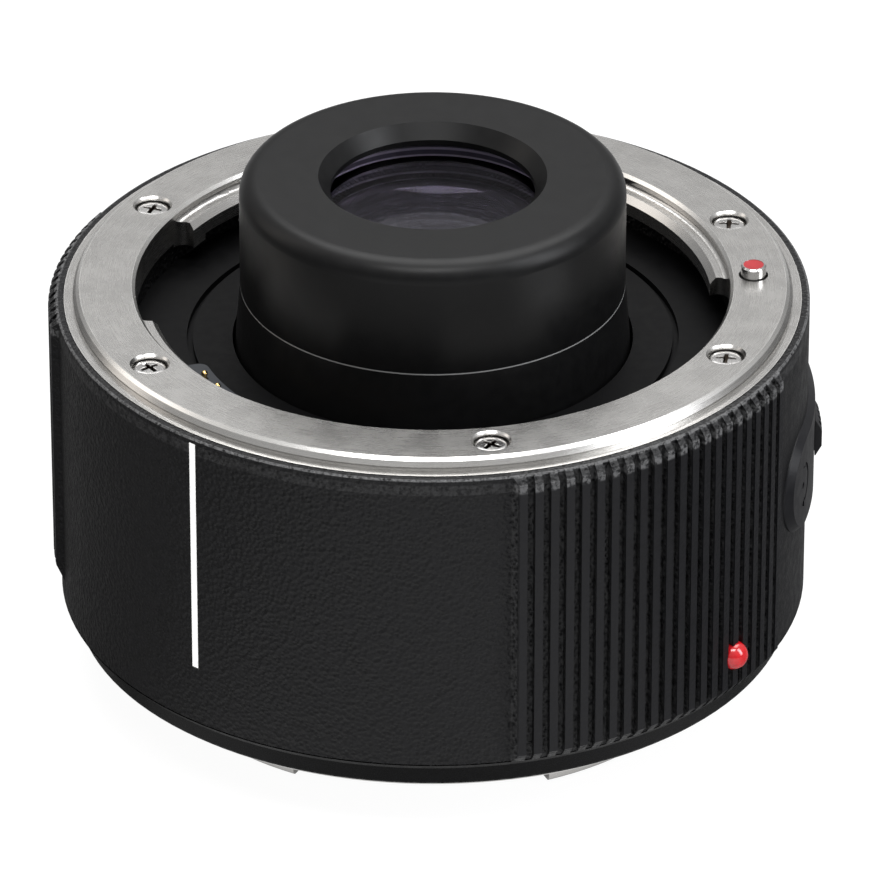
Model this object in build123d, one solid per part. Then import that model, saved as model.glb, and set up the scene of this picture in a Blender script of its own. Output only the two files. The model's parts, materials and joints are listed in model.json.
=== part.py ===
# Camera teleconverter in millimetres.
# The origin is the centre of the camera-side flange seat and +Z runs along the optical axis to the lens.
# Azimuths are in degrees, counter-clockwise from +X as seen from the lens side.
from build123d import *
from math import asin, atan, cos, degrees, pi, radians, sin, sqrt, tan
import os

os.makedirs("parts", exist_ok=True)

# Clearances
seat_gap = 0.05            # between fixed pieces, one inside the other
run_gap = 0.05             # between a moving piece and its guide
open_gap = 0.3             # around things that only pass by
cut_over = 1.0             # overrun of every cutter

# Barrel
flange_height = 36.3       # camera seat to lens seat
barrel_wall = 1.8
barrel_top_drop = 1.26     # upper edge below the lens seat
cover_joint_height = 3.3   # joint with the rear cover ring, above the camera seat
shoulder_thickness = 2.4   # inner shoulder that carries the lens mount
shoulder_inset = 0.4       # from the mount's bore out to the shoulder
foot_ledge_thickness = 2.0
foot_ledge_width = 5.2
barrel_edge_chamfer = 0.15

# Grip pads
grip_rise = 0.75
grip_top_bevel = 0.8
grip_groove_width = 0.75
grip_root = 0.2            # depth that a rib runs into the barrel
grip_pitch_angle = 2.386
grip_margin_angle = 2.6    # pad edge to the first groove
grip_ramp_angle = 0.9
right_grip_azimuth = 308.25
right_grip_groove_count = 21
right_grip_foot = 3.3
right_grip_foot_bevel = 1.0
left_grip_azimuth = 171.7
left_grip_groove_count = 14
left_grip_foot = 5.8
left_grip_foot_bevel = 1.6

# Index line and mounting dot
line_azimuth = 231.65
line_width = 0.72
line_depth = 0.12
line_top_drop = 1.75
line_length = 24.95
dot_azimuth = 321.6
dot_lift = 4.2             # above the joint with the rear cover ring
dot_radius = 1.45
dot_rise = 1.05            # how far the ball stands out of the grip
dot_stem_radius = 0.6
dot_stem_length = 0.4

# Lens mount ring
ring_thickness = 3.4
seat_width = 5.2
seat_edge_chamfer = 0.3
seat_outer_inset = 0.6     # from the ledge's wall in to the seat
ledge_drop = 1.2
ledge_width = 0.9
barrel_lip = 0.8           # of the barrel, outside the ring's ledge
ledge_groove_depth = 0.12
ledge_groove_width = 0.14
lug_reach = 1.8            # from the mount's bore inwards
lug_top_drop = 1.2
lug_bevel_width = 0.6
lug_bevel_height = 0.6
lug_root_fillet = 0.45
lug_notch_radius = 1.1
lens_lug_arcs = ((3.5, 50.0), (100.0, 152.0), (190.0, 235.0), (272.0, 318.0))
lug_stop_angle = 6.2       # of the stop under the second lug's far end
lug_stop_drop = 0.7
shim_thickness = 0.2

# Leaf springs under the lugs
leaf_thickness = 0.3
leaf_inset = 0.5
leaf_end_angle = 7.0
leaf_tab_angle = 5.0
leaf_tab_place_angle = 10.0
leaf_tab_length = 1.4

# Screws of the lens mount
mount_screw_inset = 0.15   # from the middle of the seat inwards
mount_screw_azimuths = (23.0, 90.0, 150.8, 211.3, 280.0, 332.5)
mount_screw_turns = (62.0, 20.0, 8.0, 5.0, 45.0, 20.0)
mount_screw_head_radius = 1.6
mount_screw_head_height = 0.8
mount_screw_shank_radius = 0.85
mount_screw_sink = 0.45
mount_pocket_gap = 0.15
mount_pocket_chamfer = 0.2

# Small screws used inside
small_head_radius = 1.0
small_head_height = 0.5
small_shank_radius = 0.5
tip_gap = 0.25             # wall left past a blind screw

# Screw recess, as shares of the head
cross_span_share = 1.15
cross_width_share = 0.24
cross_depth_share = 0.62
head_edge_share = 0.16

# Floor plate round the nose
floor_thickness = 1.0
floor_outer_inset = 1.6    # from the barrel's inner wall
floor_groove_reach = 4.5   # from the sleeve's foot outwards
floor_groove_width = 0.6
floor_groove_depth = 0.65
floor_screw_reach = 2.4    # from the shoulder's bore outwards
floor_screw_azimuths = (60.0, 180.0, 300.0)

# Lock pin and its release
lock_azimuth = 2.2
lock_inset = 0.6           # from the middle of the seat inwards
lock_pin_radius = 1.25
lock_pin_stand = 1.15
lock_pin_chamfer = 0.15
lock_hole_gap = 0.2
lock_travel = 2.0
enamel_radius = 1.0
enamel_depth = 0.2
enamel_sink = 0.04
lock_body_radius = 1.75
lock_body_length = 4.1
lock_body_gap = 0.1
lock_tail_radius = 0.75
cross_pin_radius = 0.5
cross_pin_drop = 2.9       # below the top of the pin's body
cross_pin_reach = 2.75     # beyond the lock pin's axis
lock_spring_turns = 6
lock_spring_wire = 0.3
lock_spring_radius = 1.25
lock_spring_length = 4.6
bracket_thickness = 1.0
bracket_wall_reach = 2.4   # from the pin's axis inwards to the bracket wall
bracket_half_width = 2.0
bracket_foot_length = 3.6
bracket_outer_reach = 1.6
bracket_screw_spread = 1.6

# Release plate and slider
release_drop = 17.25
plate_length = 28.2
plate_height = 10.9
plate_proud = 0.75         # of the barrel
plate_rim_bevel = 0.65
spigot_length = 24.0
spigot_height = 7.6
slide_angle = 4.6
knob_first_azimuth = -1.5
knob_angle = 8.0
knob_height = 3.9
knob_proud = 0.75          # of the plate
knob_bevel_width = 0.6
knob_bevel_height = 1.13
knob_groove_count = 4
knob_groove_width = 0.45
knob_groove_depth = 0.3
stem_angle = 3.2
stem_height = 2.6
slider_thickness = 0.8
slider_height = 7.0
slider_first_azimuth = -3.0
slider_last_azimuth = 8.6
ramp_angle_margin = 1.5
ramp_inner_reach = 1.9     # from the lock pin's axis outwards to the ramp
ramp_gap = 0.12
plate_screw_inset = 1.18   # from the spigot's end inwards
plate_screw_head_radius = 2.6
arrow_groove_width = 0.45
arrow_groove_depth = 0.15
arrow_radius = 2.1
arrow_azimuth = 344.2
arrow_dot_radius = 0.35

# Contacts
contact_count = 10
contact_inset = 1.2        # from the block's inner wall out to the pins
contact_pitch_angle = 6.5
contact_centre_azimuth = 234.25
contact_margin_angle = 7.2
contact_pin_radius = 0.33
contact_tip_drop = 4.3
contact_travel = 0.9
contact_collar_radius = 0.55
contact_collar_height = 0.5
contact_tail_radius = 0.2
contact_spring_wire = 0.12
contact_spring_turns = 4
contact_spring_length = 1.6
contact_chamber_gap = 0.1
block_top_drop = 5.2
block_reach = 3.9          # from the sleeve's foot out to the block
block_depth = 4.9
block_outer_gap = 1.0      # to the mount's bore
block_corner = 1.0
block_flange_reach = 0.9
block_flange_angle = 5.0
block_flange_height = 1.4
contact_board_thickness = 0.6

# Nose, sleeve and lens cell
sleeve_foot_flare = 0.5
sleeve_recess = 0.6        # of the sleeve's bore, behind the nose's
nose_wall = 1.5
nose_base_gap = 0.05
nose_rise = 11.75
nose_fillet = 2.0
nose_opening_inset = 2.0   # from the cell's bore inwards
nose_opening_flare = 1.16
nose_opening_depth = 1.45
nose_lip = 2.0
nose_collar_width = 1.6
nose_collar_height = 5.0
cell_bore_radius = 12.0
cell_wall = 3.8
cell_shelf_width = 1.1
cell_shelf_thickness = 1.5
cell_flange_reach = 3.6    # beyond the sleeve's foot
cell_flange_thickness = 2.0
cell_spigot_wall = 1.1     # beyond the cell's own wall
cell_spigot_length = 1.9
cell_screw_reach = 1.6     # beyond the sleeve's foot
cell_screw_azimuths = (30.0, 150.0, 270.0)
front_retainer_height = 0.5
rear_retainer_height = 1.2
retainer_slot_width = 1.0
retainer_slot_share = 0.5  # of the ring's height
rear_retainer_sink = 0.4

# Glass: eight elements in four groups
glass_edge_gap = 0.03
glass_rim_width = 1.2
element_1_edge = 2.4
element_1_front_bulge = -0.4
cement_1_2_bulge = 1.3
element_2_edge = 2.2
element_2_rear_bulge = -0.6
front_spacer_height = 2.6
element_3_edge = 3.4
element_3_front_bulge = -1.0
cement_3_4_bulge = -1.2
element_4_edge = 2.0
cement_4_5_bulge = 1.1
element_5_edge = 2.6
element_5_rear_bulge = -0.8
element_6_edge = 3.0
element_6_front_bulge = -0.9
cement_6_7_bulge = -0.9
element_7_edge = 2.4
element_7_rear_bulge = 0.8
rear_spacer_height = 5.0
element_8_edge = 3.2
element_8_front_bulge = 0.9
element_8_rear_bulge = -0.7

# Rear cover, chassis and camera mount ring
cover_foot_drop = 0.45     # the cover's lower edge above the camera seat
cover_foot_wall = 0.31     # round the camera mount's flange
cover_bevel_height = 0.5
cover_bevel_width = 0.4
cover_lip_width = 1.8
cover_spigot_height = 2.0
chassis_plate_thickness = 2.0
chassis_bore_gap = 0.1
spacer_width = 6.35        # of the ring between the chassis and the camera mount
chassis_screw_reach = 1.5  # from the ledge's bore outwards
chassis_screw_azimuths = (60.0, 180.0, 300.0)
camera_flange_inset = 1.8  # from the barrel's surface
camera_flange_thickness = 2.4
camera_flange_chamfer = 0.2
camera_tube_wall = 2.9
camera_tube_clearance = 0.3  # from the tube's bore to the contact block
camera_tube_length = 5.7
camera_tube_chamfer = 0.3
camera_lug_reach = 2.5
camera_lug_top_drop = 3.4
camera_lug_thickness = 1.9
camera_lug_chamfer = 0.3
camera_lug_arcs = ((19.0, 64.0), (119.0, 155.0), (206.0, 241.3), (293.6, 329.0))
camera_screw_azimuths = (30.0, 90.0, 150.0, 210.0, 270.0, 330.0)
camera_screw_sink = 0.2
camera_lock_hole_radius = 1.45

# Rear contact block
pad_drop = 4.8
pad_length = 1.4
pad_width = 1.5
pad_thickness = 0.3
rear_block_depth = 1.9
rear_block_flange_height = 1.6
rear_ear_angle = 6.0
rear_ear_reach = 0.6

# Rear baffle and throat liner
baffle_opening_clearance = 0.5  # round the cell's bore
baffle_plate_thickness = 1.5
liner_wall = 1.0
liner_drop = 3.0
baffle_screw_reach = 2.6   # from the chassis bore outwards
baffle_screw_azimuths = (90.0, 210.0, 330.0)

# Circuit board and cables
board_width = 8.5
board_outer_gap = 2.2      # to the barrel's inner wall
board_thickness = 1.0
board_post_height = 3.7
board_post_radius = 1.5
board_post_inset = 3.7     # from the board's inner edge
board_first_azimuth = 190.0
board_last_azimuth = 284.0
board_post_azimuths = (195.5, 253.0, 278.5)
chip_height = 0.9
chip_width = 5.0
chip_length = 4.0
chip_inset = 4.7           # from the board's inner edge
chip_azimuths = (207.0, 219.5, 265.5)
flex_thickness = 0.15
flex_first_azimuth = 229.0
flex_last_azimuth = 240.0
front_flex_inset = 0.8     # from the front block's outer wall
rear_flex_inset = 0.4      # from the rear block's outer wall
connector_height = 1.2
connector_depth = 1.6

# Radii, from the glass outwards
glass_clear_radius = cell_bore_radius - glass_rim_width
cell_shelf_radius = cell_bore_radius - cell_shelf_width
nose_opening_radius = cell_bore_radius - nose_opening_inset
nose_opening_top_radius = nose_opening_radius + nose_opening_flare
baffle_opening_radius = cell_bore_radius + baffle_opening_clearance
cell_radius = cell_bore_radius + cell_wall
cell_spigot_radius = cell_radius + cell_spigot_wall
chassis_bore_radius = cell_spigot_radius + chassis_bore_gap
baffle_screw_circle = chassis_bore_radius + baffle_screw_reach
nose_inner_radius = cell_radius + nose_collar_width
nose_radius = nose_inner_radius + nose_wall
sleeve_inner_radius = nose_inner_radius + sleeve_recess
sleeve_top_radius = nose_radius
sleeve_foot_radius = sleeve_top_radius + sleeve_foot_flare
cell_screw_circle = sleeve_foot_radius + cell_screw_reach
cell_flange_radius = sleeve_foot_radius + cell_flange_reach
floor_groove_radius = sleeve_foot_radius + floor_groove_reach
block_inner_radius = sleeve_foot_radius + block_reach
contact_circle = block_inner_radius + contact_inset
block_outer_radius = block_inner_radius + block_depth
front_flex_radius = block_outer_radius - front_flex_inset
mount_bore_radius = block_outer_radius + block_outer_gap
lug_inner_radius = mount_bore_radius - lug_reach
lug_notch_circle = mount_bore_radius - lug_notch_radius
shoulder_inner_radius = mount_bore_radius + shoulder_inset
floor_screw_circle = shoulder_inner_radius + floor_screw_reach
seat_inner_radius = mount_bore_radius + seat_edge_chamfer
seat_outer_radius = seat_inner_radius + seat_width
mount_screw_circle = (seat_inner_radius + seat_outer_radius) / 2 - mount_screw_inset
lock_circle = (seat_inner_radius + seat_outer_radius) / 2 - lock_inset
ledge_wall_radius = seat_outer_radius + seat_outer_inset
ledge_radius = ledge_wall_radius + ledge_width
barrel_radius = ledge_radius + barrel_lip
plate_screw_angle = degrees(asin((spigot_length / 2 - plate_screw_inset) / barrel_radius))
grip_radius = barrel_radius + grip_rise
plate_radius = barrel_radius + plate_proud
knob_radius = plate_radius + knob_proud
wall_inner_radius = barrel_radius - barrel_wall
floor_outer_radius = wall_inner_radius - floor_outer_inset
foot_ledge_radius = wall_inner_radius - foot_ledge_width
chassis_screw_circle = foot_ledge_radius + chassis_screw_reach
camera_screw_circle = mount_screw_circle
cover_lip_radius = wall_inner_radius - cover_lip_width
camera_flange_radius = barrel_radius - camera_flange_inset
cover_foot_radius = camera_flange_radius + seat_gap + cover_foot_wall
camera_tube_inner_radius = block_inner_radius - camera_tube_clearance
camera_tube_radius = camera_tube_inner_radius + camera_tube_wall
camera_lug_radius = camera_tube_radius + camera_lug_reach
rear_block_outer_radius = block_inner_radius + rear_block_depth
rear_flex_radius = rear_block_outer_radius - rear_flex_inset
board_outer_radius = wall_inner_radius - board_outer_gap
board_inner_radius = board_outer_radius - board_width
board_post_circle = board_inner_radius + board_post_inset
chip_circle = board_inner_radius + chip_inset

# Levels above the camera seat
barrel_top = flange_height - barrel_top_drop
shoulder_top = flange_height - ring_thickness - shim_thickness
shoulder_foot = shoulder_top - shoulder_thickness
floor_foot = shoulder_foot - floor_thickness
chassis_plate_foot = cover_joint_height + cover_spigot_height
chassis_top = chassis_plate_foot + chassis_plate_thickness
dot_height = cover_joint_height + dot_lift
foot_ledge_top = chassis_top + foot_ledge_thickness
board_foot = chassis_top + board_post_height
board_top = board_foot + board_thickness
cell_flange_top = chassis_top + cell_flange_thickness
nose_base = flange_height + nose_base_gap
nose_top = flange_height + nose_rise
cell_top = nose_top - nose_lip - seat_gap
cell_foot = chassis_top - cell_spigot_length
release_height = flange_height - release_drop
lock_body_top = floor_foot - lock_body_gap
lock_body_foot = lock_body_top - lock_body_length
cross_pin_height = lock_body_top - cross_pin_drop
bracket_top = lock_body_foot - lock_spring_length
block_top = flange_height - block_top_drop
block_flange_top = floor_foot
block_foot = block_flange_top - block_flange_height
contact_board_foot = block_foot - contact_board_thickness
block_half_angle = contact_pitch_angle * (contact_count - 1) / 2 + contact_margin_angle
block_first_azimuth = contact_centre_azimuth - block_half_angle
block_last_azimuth = contact_centre_azimuth + block_half_angle

standing = (Align.CENTER, Align.CENTER, Align.MIN)
hanging = (Align.CENTER, Align.CENTER, Align.MAX)


def polar(radius, azimuth, height=0):
    return Rot(0, 0, azimuth) * Pos(radius, 0, height)


def rod(radius, low, high):
    return Pos(0, 0, low) * Cylinder(radius, high - low, align=standing)


def sector(inner, outer, first, last, low, high):
    corners = [(inner, 0, low), (outer, 0, low), (outer, 0, high), (inner, 0, high)]
    outline = make_face(Polyline(*corners, close=True))
    return Rot(0, 0, first) * revolve(outline, Axis.Z, last - first)


def ring(inner, outer, low, high):
    return rod(outer, low, high) - rod(inner, low - cut_over, high + cut_over)


def turned(*corners):
    outline = make_face(Polyline(*[(r, 0, z) for r, z in corners], close=True))
    return revolve(outline, Axis.Z)


def turned_part(first, last, *corners):
    outline = make_face(Polyline(*[(r, 0, z) for r, z in corners], close=True))
    return Rot(0, 0, first) * revolve(outline, Axis.Z, last - first)


def group(solids):
    return Compound(children=list(solids))


def cut_all(body, cutters):
    for cutter in cutters:
        body = body - cutter
    return body


def screw(head_radius, head_height, shank_radius, length, turn=0):
    """A cross-recess screw: its seat is at zero, the head is above and the shank below."""
    head = Cylinder(head_radius, head_height, align=standing)
    rim = head.edges().filter_by(GeomType.CIRCLE).sort_by(Axis.Z)[-1]
    head = chamfer(rim, head_height * head_edge_share)
    depth = head_height * cross_depth_share
    arm = Box(head_radius * cross_span_share, head_radius * cross_width_share, depth, align=hanging)
    cross = Pos(0, 0, head_height) * Rot(0, 0, turn) * (arm + Rot(0, 0, 90) * arm)
    return head + Cylinder(shank_radius, length, align=hanging) - cross


def small_screw(length, turn=0):
    return screw(small_head_radius, small_head_height, small_shank_radius, length, turn)


def small_hole(low, high):
    return rod(small_shank_radius + seat_gap, low, high)


def spring(radius, wire, turns, low, high):
    """A compression coil whose wire fills the height from low to high."""
    pitch = (high - low - wire) / turns
    path = Helix(pitch, high - low - wire, radius, center=(0, 0, low + wire / 2))
    start = path @ 0
    section = Plane(start, z_dir=path % 0) * Circle(wire / 2)
    return sweep(section, path, is_frenet=True)


def lens_mount_ring():
    seat = flange_height
    groove_z = seat - ledge_drop + ledge_groove_width * 2
    body = turned(
        (mount_bore_radius, seat - ring_thickness),
        (ledge_radius, seat - ring_thickness),
        (ledge_radius, seat - ledge_drop),
        (ledge_wall_radius, seat - ledge_drop),
        (ledge_wall_radius, groove_z),
        (ledge_wall_radius - ledge_groove_depth, groove_z),
        (ledge_wall_radius - ledge_groove_depth, groove_z + ledge_groove_width),
        (ledge_wall_radius, groove_z + ledge_groove_width),
        (seat_outer_radius + seat_edge_chamfer, seat - seat_edge_chamfer),
        (seat_outer_radius, seat),
        (seat_inner_radius, seat),
        (mount_bore_radius, seat - seat_edge_chamfer),
    )
    for first, last in lens_lug_arcs:
        body += lens_lug(first, last)
    stop_end = lens_lug_arcs[1][1]
    lug_foot = seat - ring_thickness + leaf_thickness
    body += sector(
        lug_inner_radius, mount_bore_radius, stop_end - lug_stop_angle, stop_end,
        lug_foot - lug_stop_drop, lug_foot + leaf_thickness,
    )
    for first, last in lens_lug_arcs:
        for azimuth in (first, last):
            body -= polar(lug_notch_circle, azimuth) * rod(
                lug_notch_radius, seat - ring_thickness - cut_over, seat - lug_top_drop + lug_root_fillet
            )
    for azimuth in mount_screw_azimuths:
        body -= polar(mount_screw_circle, azimuth) * mount_screw_cutter()
    body -= polar(lock_circle, lock_azimuth) * rod(
        lock_pin_radius + lock_hole_gap, seat - ring_thickness - cut_over, seat + cut_over
    )
    for tab in leaf_tabs(seat_gap):
        body -= tab
    return body


def lens_lug(first, last):
    """One inward lug with a rounded root, a bevelled nose and a flat underside."""
    top = flange_height - lug_top_drop
    foot = flange_height - ring_thickness + leaf_thickness
    wall = mount_bore_radius
    middle = lug_root_fillet * (1 - cos(radians(45)))
    lines = Polyline(
        (wall, 0, top + lug_root_fillet),
        (wall + seat_edge_chamfer, 0, top + lug_root_fillet),
        (wall + seat_edge_chamfer, 0, foot),
        (lug_inner_radius, 0, foot),
        (lug_inner_radius, 0, top - lug_bevel_height),
        (lug_inner_radius + lug_bevel_width, 0, top),
        (wall - lug_root_fillet, 0, top),
    )
    root = ThreePointArc(
        (wall - lug_root_fillet, 0, top),
        (wall - middle, 0, top + middle),
        (wall, 0, top + lug_root_fillet),
    )
    outline = make_face(Wire([*lines.edges(), *root.edges()]))
    return Rot(0, 0, first) * revolve(outline, Axis.Z, last - first)


def mount_screw_cutter():
    seat = flange_height
    floor = seat - mount_screw_sink - mount_screw_head_height
    pocket_radius = mount_screw_head_radius + mount_pocket_gap
    cutter = rod(pocket_radius, floor, seat + cut_over)
    cutter += rod(mount_screw_shank_radius + seat_gap, shoulder_foot + tip_gap, seat)
    return cutter + turned(
        (0, seat - mount_pocket_chamfer),
        (pocket_radius, seat - mount_pocket_chamfer),
        (pocket_radius + mount_pocket_chamfer, seat),
        (pocket_radius + mount_pocket_chamfer, seat + cut_over),
        (0, seat + cut_over),
    )


def leaf_tabs(gap):
    low = flange_height - ring_thickness
    outer = mount_bore_radius + leaf_tab_length
    extra = degrees(gap / mount_bore_radius)
    tabs = []
    for first, last in lens_lug_arcs:
        for middle in (first + leaf_tab_place_angle, last - leaf_tab_place_angle):
            half = leaf_tab_angle / 2 + extra
            inner = mount_bore_radius - leaf_inset
            tabs.append(sector(inner, outer + gap, middle - half, middle + half, low, low + leaf_thickness))
    return tabs


def leaf_springs():
    low = flange_height - ring_thickness
    tabs = leaf_tabs(0)
    leaves = []
    for index, (first, last) in enumerate(lens_lug_arcs):
        leaf = sector(
            lug_inner_radius + leaf_inset, mount_bore_radius - leaf_inset / 2,
            first + leaf_end_angle, last - leaf_end_angle, low, low + leaf_thickness,
        )
        leaves.append(leaf + tabs[2 * index] + tabs[2 * index + 1])
    return group(leaves)


def lens_mount_screws():
    seat = flange_height - mount_screw_sink - mount_screw_head_height
    length = seat - shoulder_foot - 2 * tip_gap
    return group(
        polar(mount_screw_circle, azimuth, seat)
        * screw(mount_screw_head_radius, mount_screw_head_height, mount_screw_shank_radius, length, turn)
        for azimuth, turn in zip(mount_screw_azimuths, mount_screw_turns)
    )


def mount_shim():
    body = ring(shoulder_inner_radius, ledge_radius, shoulder_top, shoulder_top + shim_thickness)
    for azimuth in mount_screw_azimuths:
        body -= polar(mount_screw_circle, azimuth) * mount_screw_cutter()
    return body - polar(lock_circle, lock_azimuth) * rod(
        lock_pin_radius + lock_hole_gap, shoulder_foot, flange_height
    )


def grip_pad(centre, grooves, foot, foot_bevel):
    """Ribs of one grip pad: a raised sector with bevelled ends, cut by upright grooves."""
    half = grip_pitch_angle * (grooves - 1) / 2 + grip_margin_angle
    inner = barrel_radius - grip_root
    pad = turned_part(
        centre - half, centre + half,
        (inner, foot), (barrel_radius, foot), (grip_radius, foot + foot_bevel),
        (grip_radius, barrel_top - grip_top_bevel), (barrel_radius, barrel_top), (inner, barrel_top),
    )
    height = barrel_top - foot + 2 * cut_over
    rise = grip_radius - barrel_radius
    run = 2 * pi * barrel_radius * grip_ramp_angle / 360
    for side in (1, -1):
        ramp = Pos(0, 0, 0) * Box(4 * rise, 4 * run, height)
        ramp = Rot(0, 0, side * degrees(atan(rise / run))) * Pos(2 * rise, 0, 0) * ramp
        pad -= polar(barrel_radius, centre + side * half, foot + height / 2 - cut_over) * ramp
    for index in range(grooves):
        azimuth = centre + (index - (grooves - 1) / 2) * grip_pitch_angle
        groove = Box(4 * rise, grip_groove_width, height)
        pad -= polar(barrel_radius + 2 * rise - grip_root, azimuth, foot + height / 2 - cut_over) * groove
    return pad


def stadium_block(length, height, inner, outer):
    """A block with round ends that stands out along +X, at the height of the release."""
    face = Plane.YZ.offset(inner) * SlotOverall(length, height)
    return Pos(0, 0, release_height) * extrude(face, outer - inner)


def main_barrel():
    body = ring(wall_inner_radius, barrel_radius, cover_joint_height, barrel_top)
    body = chamfer(body.edges().filter_by(GeomType.CIRCLE).sort_by(SortBy.RADIUS)[-2:], barrel_edge_chamfer)
    body += ring(shoulder_inner_radius, wall_inner_radius + seat_gap, shoulder_foot, shoulder_top)
    body += ring(foot_ledge_radius, wall_inner_radius + seat_gap, chassis_top, foot_ledge_top)
    body -= rod(ledge_radius + seat_gap, shoulder_top, barrel_top + cut_over)
    body += grip_pad(right_grip_azimuth, right_grip_groove_count, right_grip_foot, right_grip_foot_bevel)
    body += grip_pad(left_grip_azimuth, left_grip_groove_count, left_grip_foot, left_grip_foot_bevel)
    for azimuth in mount_screw_azimuths:
        body -= polar(mount_screw_circle, azimuth) * mount_screw_cutter()
    for azimuth in floor_screw_azimuths:
        body -= polar(floor_screw_circle, azimuth) * small_hole(shoulder_foot - cut_over, shoulder_top - tip_gap)
    for azimuth in chassis_screw_azimuths:
        body -= polar(chassis_screw_circle, azimuth) * small_hole(chassis_top - cut_over, foot_ledge_top + cut_over)
    body -= polar(lock_circle, lock_azimuth) * rod(
        lock_pin_radius + run_gap, shoulder_foot - cut_over, shoulder_top + cut_over
    )
    body -= index_line_solid(line_depth + cut_over)
    body -= stadium_block(
        spigot_length + 2 * seat_gap, spigot_height + 2 * seat_gap, barrel_radius / 2, knob_radius
    )
    return body - index_dot(seat_gap)


def index_line_solid(thickness):
    top = flange_height - line_top_drop
    half = degrees(line_width / 2 / barrel_radius)
    inner = barrel_radius - line_depth
    return sector(inner, inner + thickness, line_azimuth - half, line_azimuth + half, top - line_length, top)


def dot_centre_radius():
    return grip_radius + dot_rise - dot_radius


def index_dot(gap=0):
    """The ball and its stem, turned as one profile about the line through the barrel wall."""
    ball_radius = dot_radius + gap
    stem_radius = dot_stem_radius + gap
    stem_foot = -dot_radius - dot_stem_length - gap
    neck = -sqrt(ball_radius ** 2 - stem_radius ** 2)
    lines = Polyline((0, 0, ball_radius), (0, 0, stem_foot), (stem_radius, 0, stem_foot), (stem_radius, 0, neck))
    arc = ThreePointArc((stem_radius, 0, neck), (ball_radius, 0, 0), (0, 0, ball_radius))
    ball = revolve(make_face(Wire([*lines.edges(), *arc.edges()])), Axis.Z)
    return polar(dot_centre_radius(), dot_azimuth, dot_height) * Rot(0, 90, 0) * ball


def floor_plate():
    inner = sleeve_foot_radius + open_gap
    body = ring(inner, floor_outer_radius, floor_foot, shoulder_foot)
    body -= ring(
        floor_groove_radius - floor_groove_width / 2, floor_groove_radius + floor_groove_width / 2,
        shoulder_foot - floor_groove_depth, shoulder_foot + cut_over,
    )
    window = degrees(open_gap / block_inner_radius)
    body -= sector(
        block_inner_radius - open_gap, block_outer_radius + open_gap,
        block_first_azimuth - window, block_last_azimuth + window,
        floor_foot - cut_over, shoulder_foot + cut_over,
    )
    for azimuth in floor_screw_azimuths:
        body -= polar(floor_screw_circle, azimuth) * small_hole(floor_foot - cut_over, shoulder_foot + cut_over)
    for place in bracket_screw_places():
        body -= place * small_hole(floor_foot - cut_over, shoulder_foot - tip_gap)
    for place in block_screw_places():
        body -= place * small_hole(floor_foot - cut_over, shoulder_foot - tip_gap)
    return body - polar(lock_circle, lock_azimuth) * rod(
        lock_pin_radius + lock_hole_gap, floor_foot - cut_over, shoulder_foot + cut_over
    )


def floor_screws():
    length = floor_thickness + shoulder_thickness - 2 * tip_gap
    return group(
        polar(floor_screw_circle, azimuth, floor_foot) * Rot(180, 0, 0) * small_screw(length)
        for azimuth in floor_screw_azimuths
    )


def bracket_screw_places():
    radius = lock_circle - bracket_wall_reach - bracket_foot_length / 2 - bracket_thickness / 2
    spread = degrees(bracket_screw_spread / radius)
    return [polar(radius, lock_azimuth + side * spread) for side in (-1, 1)]


def lock_pin():
    top = flange_height + lock_pin_stand
    pin = rod(lock_pin_radius, lock_body_top, top)
    pin = chamfer(pin.edges().sort_by(Axis.Z)[-1], lock_pin_chamfer)
    pin += rod(lock_body_radius, lock_body_foot, lock_body_top)
    pin += rod(lock_tail_radius, bracket_top - bracket_thickness, lock_body_foot)
    pin -= rod(enamel_radius, top - enamel_depth, top + cut_over)
    place = polar(lock_circle, lock_azimuth)
    return place * pin - place * cross_pin_rod(seat_gap)


def lock_pin_enamel():
    top = flange_height + lock_pin_stand
    return polar(lock_circle, lock_azimuth) * rod(enamel_radius, top - enamel_depth, top - enamel_sink)


def cross_pin_rod(gap):
    length = cross_pin_reach + lock_body_radius / 2
    rod_shape = Cylinder(cross_pin_radius + gap, length + gap, align=standing)
    return Pos(-lock_body_radius / 2 - gap, 0, cross_pin_height) * Rot(0, 90, 0) * rod_shape


def cross_pin():
    return polar(lock_circle, lock_azimuth) * cross_pin_rod(0)


def lock_pin_spring():
    coil = spring(lock_spring_radius, lock_spring_wire, lock_spring_turns, bracket_top, lock_body_foot)
    return polar(lock_circle, lock_azimuth) * coil


def lock_pin_bracket():
    """A bent bracket: foot under the floor plate, upright wall, and a shelf that seats the spring."""
    low = bracket_top - bracket_thickness
    wall_outer = -bracket_wall_reach
    wall_inner = wall_outer - bracket_thickness
    foot_inner = wall_inner - bracket_foot_length
    width = 2 * bracket_half_width
    foot_width = 2 * (bracket_screw_spread + small_head_radius)

    def slab(x_low, x_high, y_width, z_low, z_high):
        block = Box(x_high - x_low, y_width, z_high - z_low)
        return Pos((x_low + x_high) / 2, 0, (z_low + z_high) / 2) * block

    body = slab(wall_inner, bracket_outer_reach, width, low, bracket_top)
    body += slab(wall_inner, wall_outer, width, low, floor_foot)
    body += slab(foot_inner, wall_outer, foot_width, floor_foot - bracket_thickness, floor_foot)
    body -= rod(lock_tail_radius + run_gap, low - cut_over, bracket_top + cut_over)
    body = polar(lock_circle, lock_azimuth) * body
    for place in bracket_screw_places():
        body -= place * small_hole(floor_foot - bracket_thickness - cut_over, floor_foot + cut_over)
    return body


def bracket_screws():
    length = bracket_thickness + floor_thickness - 2 * tip_gap
    low = floor_foot - bracket_thickness
    return group(
        place * Pos(0, 0, low) * Rot(180, 0, 0) * small_screw(length) for place in bracket_screw_places()
    )


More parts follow.
